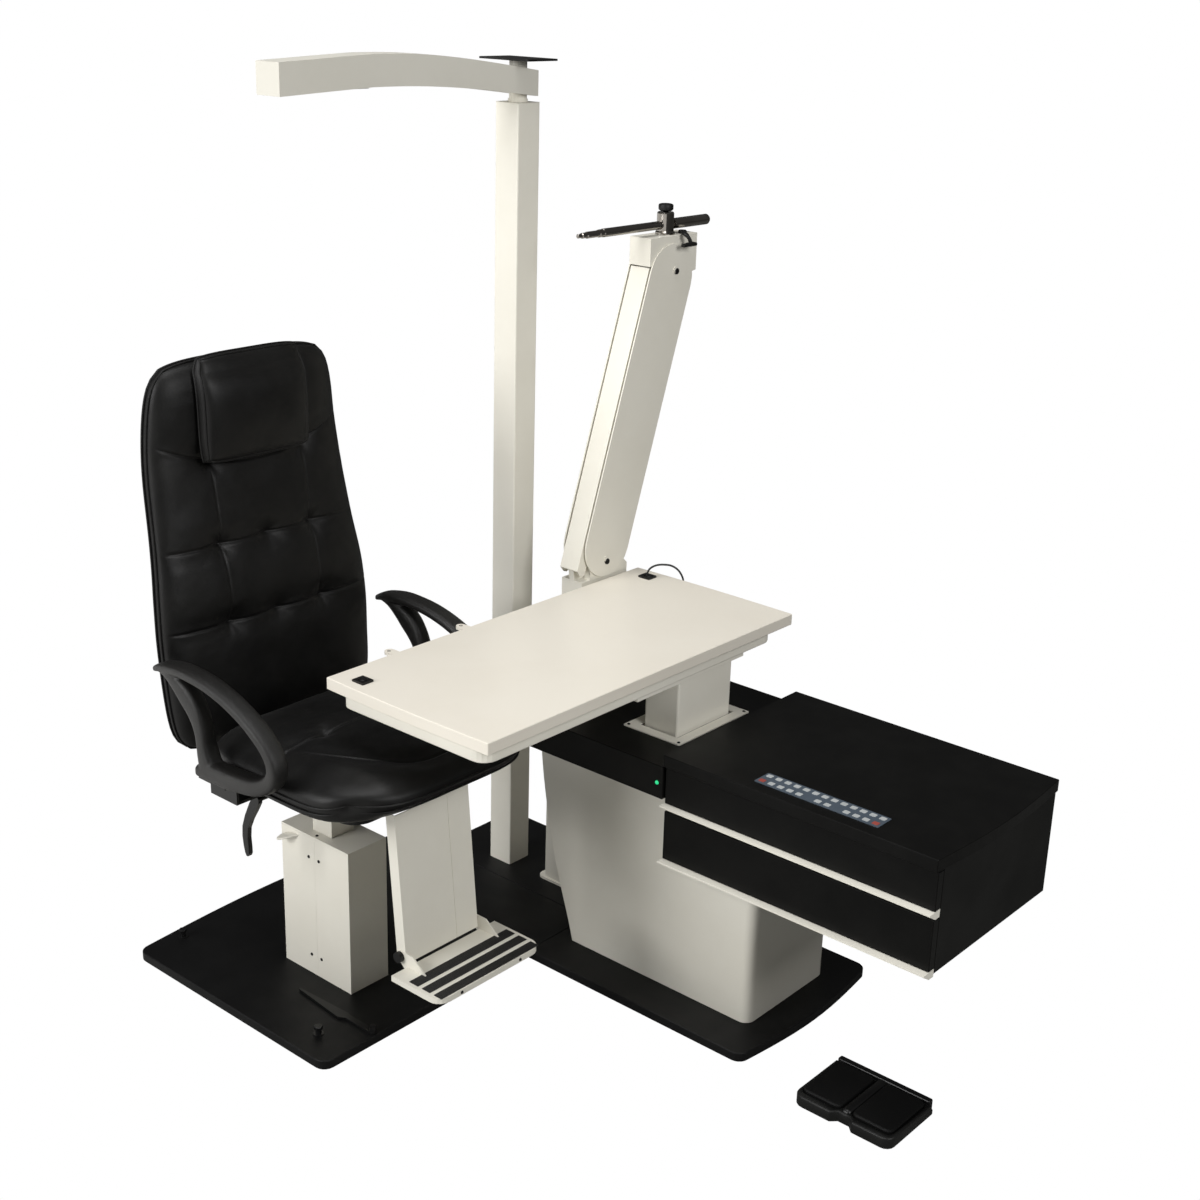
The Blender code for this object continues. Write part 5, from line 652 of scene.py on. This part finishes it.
def back_surface(u, v, side, sewn=True):
    """A place on the backrest; without its sewing, the front that the pillow lies on."""
    drawn = corner_drop * abs(u) ** 4 * v * v
    z = back_centre + back_reach * v * (1 - drawn)
    share = (z - back_low) / (back_high - back_low)
    y = u * back_width / 2 * read_along(width_shares, share) * (1 - 0.12 * abs(v) ** 18 * u * u)
    middle = back_plane - 0.050 * read_along(depth_shares, share)
    full = hump(u, 6, 0.40) * hump(v, 10, 0.40)
    if side < 0:
        x = middle - 0.042 * full
        return Vector((x + 0.0012 * crease((0, y, z * 0.6), 0.08, 7.7) * full, chair_y + y, z))
    x = middle + 0.050 * full * (1 - 0.16 * u * u)
    if not sewn:
        return Vector((x, chair_y + y, z))
    inner = hump(u, 8, 1)
    for line, rise in back_seams:
        away = (v - line - rise * u * u) * back_reach
        x -= inner * (0.0050 * groove(away, 0.034) + 0.0034 * groove(away, stitch))
        for at in back_tufts:
            if line < 0.4 or at:
                across, up = y - at, away
                far = math.hypot(across, up * 1.25)
                turn = math.atan2(up, across)
                x -= 0.0085 * groove(far, 0.027) + 0.0034 * groove(far, 0.009)
                x += 0.0005 * math.cos(turn * 6 + at * 40) * groove(far - 0.024, 0.014)
    for at in back_lines:
        run = hump((v - 0.065) / 0.40, 8, 1)
        x -= (0.0012 * groove(y - at, stitch) + 0.0010 * groove(y - at, 0.020)) * inner * run
    x += 0.0024 * crease((0, y * 1.2, z), 0.085, 1.3) * full
    x += 0.0007 * crease((0, y, z * 1.8), 0.026, 5.9) * full
    return Vector((x, chair_y + y, z))


def back_place(s, t, side):
    u = aligned(s, [(-0.46, -0.46), (0.46, 0.46)])
    knots = [(line, line + rise * u * u) for line, rise in back_seams]
    return back_surface(u, aligned(t, knots), side)


pad("backrest_pad", 96, 124, back_place, "back", "backrest_cushion")
piping("backrest_piping", rim_of(back_surface, 44, shift=(0.0065, 0, 0)), 0.0025, "back")
piping("backrest_rear_piping", rim_of(back_surface, 44, shift=(-0.0065, 0, 0)), 0.0025, "back")


# Headrest pillow: a boxed leather pad over the top of the backrest, with a wall all round and a
# piped seam at either edge of the wall.

pillow_low, pillow_high = 1.110, 1.318
pillow_half = 0.127
pillow_shift = 0.014
pillow_gap, pillow_edge = 0.0010, 0.0085
farthest = 0.96


def pillow_surface(u, v, side):
    """A place on the pillow, whose back follows the front of the backrest."""
    centre, reach = (pillow_low + pillow_high) / 2, (pillow_high - pillow_low) / 2
    drawn = 0.09 if v > 0 else 0.03
    y = u * pillow_half * (1 - drawn * abs(v) ** 4 * abs(u)) - pillow_shift
    z = centre + v * reach * (1 - 0.05 * abs(u) ** 4 * abs(v))
    share = (z - back_low) / (back_high - back_low)
    half = back_width / 2 * read_along(width_shares, share)
    bu = min(farthest, max(-farthest, y / half))
    bv = (z - back_centre) / back_reach
    for _ in range(4):
        bv = (z - back_centre) / back_reach / (1 - corner_drop * bu ** 4 * bv * bv)
    bv = min(farthest, max(-farthest, bv))
    x = back_surface(bu, bv, 1, sewn=False).x + pillow_gap
    if side < 0:
        near = 1 - hump(u, 8, 0.4) * hump(v, 8, 0.4)
        return Vector((x + pillow_edge * near, chair_y + y, z))
    wall = hump(u, 26, 0.5) * hump(v, 22, 0.5)
    crown = hump(u, 2.6, 0.8) * hump(v, 2.6, 0.8)
    ripple = 0.0020 * crease((0, y * 1.3, z), 0.07, 9.2)
    rolled = 1 - 0.42 * max(0.0, (v - 0.2) / 0.8) ** 2.5
    thick = (0.0215 + 0.016 * crown + ripple) * wall * rolled
    return Vector((x + pillow_edge + thick, chair_y + y, z))


def pillow_place(s, t, side):
    return pillow_surface(aligned(s, []), aligned(t, []), side)


pad("pillow_pad", 64, 52, pillow_place, "back", "headrest_pillow")
piping("pillow_piping", rim_of(pillow_surface, 30), 0.0022, "back")
piping("pillow_front_piping", rim_of(pillow_surface, 30, size=0.972), 0.0020, "back")


# Armrests: one moulded loop each of grained black foam skin, thick on top and thin in the legs,
# screwed to the crossbar under the seat.

foam_skin = finish("foam skin", (0.0070, 0.0066, 0.0060), (0.0125, 0.0120, 0.0110), patch=12,
                   polished=0.36, dull=0.5, relief_scale=900, pebbles=0.85, relief_depth=0.00022,
                   relief_strength=0.5, Specular_IOR_Level=0.4)
arm_band = [
    (-0.086, 0.741, 0.012, 0.030), (-0.060, 0.750, 0.019, 0.038), (-0.013, 0.757, 0.022, 0.043),
    (0.033, 0.7565, 0.022, 0.044), (0.080, 0.7515, 0.022, 0.044), (0.131, 0.739, 0.022, 0.044),
    (0.181, 0.7195, 0.022, 0.044), (0.218, 0.6985, 0.023, 0.044), (0.247, 0.675, 0.025, 0.042),
    (0.262, 0.650, 0.029, 0.040), (0.261, 0.625, 0.032, 0.039), (0.240, 0.602, 0.034, 0.039),
    (0.203, 0.586, 0.036, 0.040), (0.150, 0.579, 0.038, 0.041), (0.100, 0.577, 0.038, 0.041),
    (0.058, 0.577, 0.038, 0.041)]
arm_leg = [
    (-0.066, 0.746, 0.014, 0.032), (-0.040, 0.741, 0.022, 0.036), (-0.013, 0.728, 0.036, 0.038),
    (0.010, 0.711, 0.045, 0.038), (0.028, 0.692, 0.043, 0.036), (0.042, 0.670, 0.036, 0.036),
    (0.050, 0.648, 0.032, 0.036), (0.054, 0.625, 0.031, 0.037), (0.059, 0.602, 0.036, 0.039),
    (0.066, 0.582, 0.044, 0.040)]
arm_base = [
    (0.040, 0.570, 0.027, 0.042), (0.090, 0.570, 0.027, 0.042), (0.140, 0.571, 0.027, 0.042),
    (0.185, 0.580, 0.026, 0.038)]


def rounded_box(sides, box):
    """The outline of a bar, as shares of its half width and half height."""
    for k in range(sides):
        c, s = math.cos(math.tau * k / sides), math.sin(math.tau * k / sides)
        yield math.copysign(abs(c) ** box, c), math.copysign(abs(s) ** box, s)


def skinned(shape, rings):
    """Closes rings of vertices to one bar."""
    for a, b in zip(rings, rings[1:]):
        for k in range(len(a)):
            after = (k + 1) % len(a)
            shape.faces.new((a[k], a[after], b[after], b[k]))
    shape.faces.new(rings[0][::-1])
    shape.faces.new(rings[-1])


def limb(shape, stations, middle):
    """A rounded bar through stations of x, z, thickness and width."""
    line = curve_through(stations, 5)
    rings = []
    for i, (x, z, thick, wide) in enumerate(line):
        ahead = line[min(i + 1, len(line) - 1)] - line[max(i - 1, 0)]
        across = Vector((-ahead[1], ahead[0])).normalized()
        ring = []
        for c, s in rounded_box(28, 0.62):
            lift, side = s * thick / 2, c * wide / 2
            ring.append(shape.verts.new((x + across.x * lift, middle + side, z + across.y * lift)))
        rings.append(ring)
    skinned(shape, rings)


def fused(shape, voxel, rounds):
    """One skin over volumes that overlap, eased where they meet."""
    mesh = bpy.data.meshes.new("volumes")
    closed(shape).to_mesh(mesh)
    shape.free()
    holder = bpy.data.objects.new("volumes", mesh)
    scene.collection.objects.link(holder)
    skin = holder.modifiers.new("skin", "REMESH")
    skin.mode = "VOXEL"
    skin.voxel_size = voxel
    ease = holder.modifiers.new("ease", "SMOOTH")
    ease.factor = 0.5
    ease.iterations = rounds
    depsgraph = bpy.context.evaluated_depsgraph_get()
    result = bpy.data.meshes.new_from_object(holder.evaluated_get(depsgraph))
    bpy.data.objects.remove(holder)
    skin_shape = bmesh.new()
    skin_shape.from_mesh(result)
    return skin_shape


arm_voxel = 0.0024
for name in ("armrest_near", "armrest_far"):
    low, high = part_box(name)
    volumes = bmesh.new()
    for stations in (arm_band, arm_leg, arm_base):
        limb(volumes, stations, (low.y + high.y) / 2)
    arm = stand(f"{name}_skin", fused(volumes, arm_voxel, 7), "seat", foam_skin,
                180)
    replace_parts(arm, name)


# Footrest: a folded sheet support that hangs from the seat pan, and a hinged plate with three
# black grip strips and two screws in its front edge.

step_top = 0.203
strip_length, strip_height = 0.266, 0.0014
strips = bmesh.new()
for x0, x1 in ((0.4450, 0.4690), (0.4795, 0.5015), (0.5120, 0.5330)):
    slab(strips, (x1 - x0, strip_length, strip_height),
         ((x0 + x1) / 2, chair_y, step_top + strip_height / 2))
eased(strips, list(strips.edges), 0.0005)
grip = finish("grip strip", (0.006, 0.006, 0.006), (0.010, 0.010, 0.010), polished=0.6, dull=0.8,
              relief_scale=1500, pebbles=0.6, relief_depth=0.0004, relief_strength=0.7)
stand("grip_strips", closed(strips), "foot_step", grip)
plate_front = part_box("footplate")[1].x
edge_screws = bmesh.new()
for y in (-0.690, -0.530):
    spun(edge_screws, screw_head, 16, (1, 0, 0), (plate_front, y, 0.1970))
stand("edge_screws", closed(edge_screws), "foot_step", black_metal, 40)


# Console: black laminate on board with thin edge bands. The deck holds the table's column, the
# worktop the keypad, and a small green lamp shows on the deck's near face.

laminate = finish("black laminate", (0.0038, 0.0038, 0.0036), (0.0070, 0.0069, 0.0064), patch=10,
                  polished=0.34, dull=0.48, smear=4, relief_scale=1300, relief_depth=0.00010,
                  relief_strength=0.35, Specular_IOR_Level=0.10)
dress(laminate, "console_deck", "console_worktop", "drawer_carcass", "upper_drawer", "lower_drawer")
handle_cream = finish("handle profile", (0.80, 0.775, 0.69), (0.76, 0.73, 0.64), polished=0.28,
                      dull=0.4, relief_scale=1500, relief_depth=0.00005)
dress(handle_cream, "upper_drawer_handle", "lower_drawer_handle")

# The pedestal is a closed shell: its left edge sweeps in, its right edges are rounded, and a step
# at the top right clears the drawer carcass.

pedestal_low, pedestal_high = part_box("pedestal_housing")
carcass_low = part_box("drawer_carcass")[0]
step_x, step_z = carcass_low.x - 0.003, carcass_low.z - 0.0003
sweep_depth, pedestal_round = 0.105, 0.022
sweep_shares = [(0.0, 1.0), (0.10, 0.87), (0.28, 0.60), (0.48, 0.35), (0.70, 0.15), (0.88, 0.04),
                (1.0, 0.0)]
swept_edge = curve_through([
    (pedestal_low.x + sweep_depth * b, pedestal_low.z + (pedestal_high.z - pedestal_low.z) * a)
    for a, b in sweep_shares], 5)
shell_line = [*((p[0], p[1]) for p in reversed(swept_edge)), (pedestal_high.x, pedestal_low.z),
              (pedestal_high.x, step_z), (step_x, step_z), (step_x, pedestal_high.z)]
housing = bmesh.new()
prism(housing, [(x, pedestal_low.y, z) for x, z in shell_line],
      (0, pedestal_high.y - pedestal_low.y, 0))
closed(housing)
corners = [e for e in housing.edges if all(abs(v.co.x - pedestal_high.x) < 1e-5 for v in e.verts)
           and abs(e.verts[0].co.y - e.verts[1].co.y) < 1e-5]
eased(housing, corners, pedestal_round, 8)
eased(housing, sharp_edges(housing), 0.0012, clamp=True)
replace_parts(stand("pedestal_shell", closed(housing), "base", cream_coat, 25),
            "pedestal_housing")

green_glow = bpy.data.materials.new("green lamp")
green_glow.use_nodes = True
glow = green_glow.node_tree.nodes["Principled BSDF"]
set_inputs(glow, Base_Color=(0.01, 0.30, 0.12, 1), Roughness=0.25,
           Emission_Color=(0.02, 0.75, 0.28, 1), Emission_Strength=0.7)
deck_low, deck_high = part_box("console_deck")
lamp = bmesh.new()
spun(lamp, [(0, -0.001), (0.0042, -0.001), (0.0042, 0.0008), (0.0032, 0.0022), (0.0015, 0.003),
            (0, 0.0031)], 24, (0, -1, 0), (0.667, deck_low.y, 0.541))
stand("power_lamp", closed(lamp), "base", green_glow, 60)

# A thin black filler closes the gap between the deck and the drawer carcass.

filler = bmesh.new()
slab(filler, (carcass_low.x - deck_high.x - 0.0002, 0.404, deck_high.z - deck_low.z - 0.003),
     ((carcass_low.x + deck_high.x) / 2, -0.060, (deck_low.z + deck_high.z) / 2))
eased(filler, list(filler.edges), 0.0003)
stand("deck_filler", closed(filler), "base", laminate, 30)

# Keypad: a membrane panel with two rows of printed keys, one red key at either end of the near row.

slate = finish("keypad membrane", (0.060, 0.078, 0.100), (0.075, 0.095, 0.120), patch=20,
               polished=0.28, dull=0.4, relief_scale=1800, relief_depth=0.00004)
dress(slate, "keypad_panel")
key_face = finish("key print", (0.42, 0.44, 0.44), (0.34, 0.36, 0.36), patch=60, polished=0.35,
                  dull=0.5, relief_scale=1500, relief_depth=0.00004)
key_pitch, first_key = 0.0208, 0.887
key_size = (0.0125, 0.0115, 0.0007)
far_row, near_row, last_key = -0.2250, -0.2495, 12
key_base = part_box("keypad_panel")[1].z + 0.0002
keys, red_keys = bmesh.new(), bmesh.new()
for y, places in ((far_row, range(13)), (near_row, (0, 1, 2, 3, 4, 6, 7, 9, 10, 11, 12))):
    for k in places:
        red = y == near_row and k in (0, last_key)
        slab(red_keys if red else keys, key_size, (first_key + k * key_pitch, y, key_base))
key_red = finish("red key print", (0.30, 0.060, 0.045), (0.24, 0.05, 0.04), patch=60, polished=0.35,
                 dull=0.5, relief_scale=1500, relief_depth=0.00004)
for label, shape, colour in (
        ("keypad_keys", keys, key_face), ("keypad_red_keys", red_keys, key_red)):
    eased(shape, [e for e in shape.edges if abs(e.verts[0].co.z - e.verts[1].co.z) > 0.0003],
          0.002, 3)
    stand(label, closed(shape), "base", colour)

trim_low, trim_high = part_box("column_trim_plate")
trim_inset = 0.008
trim_screws = bmesh.new()
for x in (trim_low.x + trim_inset, trim_high.x - trim_inset):
    for y in (trim_low.y + trim_inset, trim_high.y - trim_inset):
        spun(trim_screws, screw_head, 14, (0, 0, 1), (x, y, trim_high.z))
stand("trim_screws", closed(trim_screws), "base", black_metal, 40)


# Instrument table: ivory laminate board on a cream sheet tray, which slides on a rail on top of
# the lifting column. Two small black sockets are let into the board, and two screws mark the
# bosses at its left edge.

ivory = finish("ivory laminate", (0.790, 0.745, 0.655), (0.760, 0.712, 0.618), share=0.5, patch=5,
               polished=0.30, dull=0.42, smear=3, relief_scale=1200, relief_depth=0.00008,
               relief_strength=0.3)
dress(ivory, "table_board")
core_profile = [(0, -0.0004), (0.0092, -0.0004), (0.0092, 0.0008), (0.0084, 0.0015),
                (0.0062, 0.0015), (0.0056, 0.0008), (0.0030, 0.0008), (0.0026, 0.0012), (0, 0.0012)]
cores = bmesh.new()
for name, shift in (("socket_near", 0), ("socket_far", 0.006)):
    low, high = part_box(name)
    spun(cores, core_profile, 28, (0, 0, 1),
         ((low.x + high.x) / 2 + shift, (low.y + high.y) / 2, high.z))
stand("socket_cores", closed(cores), "table_top", black_metal, 40)
boss_profile = [(0, -0.0008), (0.0034, -0.0008), (0.0034, 0.0004), (0.0024, 0.0004),
                (0.0020, -0.0002), (0, -0.0002)]
boss_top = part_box("table_board")[1].z - 0.0013
boss_holes = bmesh.new()
for y in (-0.5634, -0.3667):
    spun(boss_holes, boss_profile, 20, (0, 0, 1), (0.2055, y, boss_top))
stand("boss_holes", closed(boss_holes), "table_top", black_metal, 40)


# Refractor arm: two folded links between a swivelling fork and a level head, in cream coat, with
# small black pivot screws. The clamp, rod and spindle are polished dark chrome.

dark_chrome = finish("dark chrome", (0.33, 0.31, 0.285), (0.26, 0.245, 0.225), patch=24,
                     polished=0.08, dull=0.18, relief_scale=2500, relief_depth=0.00001,
                     Metallic=1.0)
dress(dark_chrome, "rod_clamp")

pivot_profile = [(0, -0.0040), (0.0066, -0.0040), (0.0066, 0.0010), (0.0055, 0.0020),
                 (0.0030, 0.0020), (0.0028, 0.0004), (0, 0.0004)]
cheek_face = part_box("arm_housing")[1].x
pivot_screws = bmesh.new()
for y, z in ((0.2724, 1.4160), (0.0697, 0.8021)):
    spun(pivot_screws, pivot_profile, 24, (1, 0, 0), (cheek_face, y, z))
stand("pivot_screws", closed(pivot_screws), "refractor_arm", black_metal, 40)

# A cream lip inside each cheek leaves a narrow dark gap beside the front link. A short black guide
# strip goes on below each lip, and a black washer sits beside the link above it.

lip_low, lip_run = 0.0240, 0.330 * 0.530
lip_outline = [(lip_low, 0.8640), (lip_low + 0.010, 0.8612), (lip_low + 0.010 + lip_run, 1.3912),
               (lip_low + lip_run, 1.3940)]
lips = bmesh.new()
for x0, x1 in ((0.1565, 0.1597), (0.2123, 0.2155)):
    prism(lips, [(x0, y, z) for y, z in lip_outline], (x1 - x0, 0, 0))
eased(lips, list(lips.edges), 0.0004)
stand("cheek_lips", closed(lips), "refractor_arm", cream_coat, 30)
guide_outline = [(0.0232, 0.8640), (0.0340, 0.8604), (0.0190, 0.8180), (0.0080, 0.8212)]
washer = [(0, 0), (0.0046, 0), (0.0052, 0.0005), (0.0052, 0.0031), (0.0046, 0.0036), (0, 0.0036)]
guides = bmesh.new()
for x0, x1, washer_x in ((0.1538, 0.1569, 0.1568), (0.2151, 0.2182, 0.2116)):
    prism(guides, [(x0, y, z) for y, z in guide_outline], (x1 - x0, 0, 0))
    spun(guides, washer, 24, (1, 0, 0), (washer_x, 0.2010, 1.4020))
stand("link_guides", closed(guides), "refractor_arm", black_metal, 30)

# Rod, knob and lever of the clamp: turned dark chrome with a stepped nose, a flat black cap on a
# thin stem, and a black lever that hooks over the head's edge.

rod_low, rod_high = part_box("refractor_rod")
axis_x, axis_z = (rod_low.x + rod_high.x) / 2, (rod_low.z + rod_high.z) / 2
rod = bmesh.new()
rod_profile = [(0, 0), (0.0036, 0), (0.0044, 0.0010), (0.0044, 0.0120), (0.0058, 0.0126),
               (0.0058, 0.0200), (0.0052, 0.0206), (0.0052, 0.0260), (0.0070, 0.0272),
               (0.0070, 0.0640), (0.0082, 0.0648), (0.0082, 0.0720), (0.0076, 0.0726),
               (0.0076, 0.0770), (0.0090, 0.0782), (0.0090, 0.3065), (0.0115, 0.3068),
               (0.0115, 0.4150), (0.0108, 0.4165), (0.0108, 0.4180), (0.0115, 0.4195),
               (0.0115, 0.4262), (0.0098, 0.4290), (0.0060, 0.4290), (0.0050, 0.4270), (0, 0.4270)]
spun(rod, rod_profile, 40, (0, 1, 0), (axis_x, rod_low.y, axis_z))
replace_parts(stand("rod_skin", closed(rod), "clamp_rod", dark_chrome, 35),
            "refractor_rod")

knob_low, knob_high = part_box("clamp_knob")
knob_profile = [(0, 0), (0.0045, 0), (0.0045, 0.0130), (0.0070, 0.0155), (0.0130, 0.0165),
                (0.0158, 0.0185), (0.0162, 0.0210), (0.0162, 0.0275), (0.0150, 0.0300),
                (0.0120, 0.0310), (0.0075, 0.0303), (0, 0.0300)]
knob = bmesh.new()
spun(knob, knob_profile, 48, (0, 0, 1),
     ((knob_low.x + knob_high.x) / 2, (knob_low.y + knob_high.y) / 2, knob_low.z))
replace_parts(stand("knob_skin", closed(knob), "clamp_handle", black_moulding, 40),
            "clamp_knob")


def spine(shape, stations):
    """A rounded bar through stations of x, y, z, width across and height."""
    line = curve_through(stations, 5)
    rings = []
    for i, station in enumerate(line):
        here = Vector(station[:3])
        ahead = Vector(line[min(i + 1, len(line) - 1)][:3]) - Vector(line[max(i - 1, 0)][:3])
        across = ahead.cross(Vector((0, 0, 1)))
        across = (across if across.length > 1e-6 else Vector((0, 1, 0))).normalized()
        lift = across.cross(ahead).normalized()
        wide, high = station[3], station[4]
        rings.append([shape.verts.new(here + across * c * wide / 2 + lift * s * high / 2)
                      for c, s in rounded_box(20, 0.7)])
    skinned(shape, rings)


lever = bmesh.new()
spine(lever, [(0.2025, 0.3090, 1.4958, 0.011, 0.006), (0.2130, 0.2990, 1.4962, 0.012, 0.006),
              (0.2240, 0.2880, 1.4962, 0.013, 0.006), (0.2330, 0.2855, 1.4930, 0.012, 0.008),
              (0.2375, 0.2880, 1.4870, 0.010, 0.008), (0.2400, 0.2915, 1.4780, 0.010, 0.008)])
spine(lever, [(0.2400, 0.3080, 1.4735, 0.010, 0.008), (0.2405, 0.2930, 1.4745, 0.012, 0.010),
              (0.2405, 0.2770, 1.4740, 0.011, 0.008), (0.2400, 0.2650, 1.4735, 0.010, 0.007)])
spun(lever, [(0, 0), (0.0095, 0), (0.0095, 0.0040), (0.0080, 0.0066), (0, 0.0070)], 28, (0, 0, 1),
     (0.2025, 0.3090, 1.4924))
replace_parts(stand("lock_lever_skin", closed(lever), "head_lock", black_moulding,
                  50), "head_lock_lever")

# The seat's swivel lock: a cream paddle that leaves the column's cover and droops to its tip.

paddle = bmesh.new()
spine(paddle, [(0.0520, -0.6360, 0.3330, 0.012, 0.006), (0.0360, -0.6440, 0.3340, 0.014, 0.006),
               (0.0180, -0.6550, 0.3310, 0.022, 0.006), (0.0030, -0.6670, 0.3270, 0.027, 0.006),
               (-0.0080, -0.6760, 0.3225, 0.024, 0.0055), (-0.0140, -0.6810, 0.3190, 0.012, 0.004)])
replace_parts(stand("swivel_paddle", closed(paddle), "swivel_lever", cream_coat, 60),
            "swivel_lock_lever")


# Foot switch: a black moulded tub on the floor with two rubber treadles. The tub is the solid's own
# form, drawn in behind the treadles to the depth that the photograph shows. Two glossy ridges stand
# on it, one between the treadles and one along its back edge.

treadle_rubber = finish("treadle rubber", (0.0022, 0.0022, 0.0022), (0.0045, 0.0045, 0.0044),
                        polished=0.42, dull=0.55, relief_scale=1300, pebbles=0.5,
                        relief_depth=0.00015, relief_strength=0.4, Specular_IOR_Level=0.18)
dress(treadle_rubber, "left_treadle", "right_treadle")
gloss_black = finish("gloss black moulding", (0.0030, 0.0030, 0.0030), (0.0055, 0.0055, 0.0055),
                     polished=0.28, dull=0.40, relief_scale=1500, relief_depth=0.00004,
                     Specular_IOR_Level=0.35)
switch = nodes["foot_switch_housing"]
switch_low, switch_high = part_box("foot_switch_housing")
bay_back, drawn_in = -0.165, 0.35
tub = bmesh.new()
tub.from_mesh(switch.data)
tub.transform(switch.matrix_world)
for vert in tub.verts:
    vert.co.y = min(vert.co.y, bay_back + (vert.co.y - bay_back) * drawn_in)
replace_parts(stand("switch_tub", closed(tub), "base", black_moulding, 35),
            "foot_switch_housing")
switch_mid = (switch_low.x + switch_high.x) / 2
ridge = bmesh.new()
for low, high, round_off in (
        ((switch_mid - 0.0110, -0.296, 0.012), (switch_mid + 0.0110, -0.158, 0.0300), 0.0085),
        ((switch_low.x + 0.004, -0.165, 0.006), (switch_high.x - 0.004, -0.151, 0.0315), 0.0040)):
    block = slab(ridge, [b - a for a, b in zip(low, high)],
                 [(a + b) / 2 for a, b in zip(low, high)])
    eased(ridge, list({edge for vert in block for edge in vert.link_edges}), round_off, 5)
stand("switch_ridges", closed(ridge), "base", gloss_black, 40)
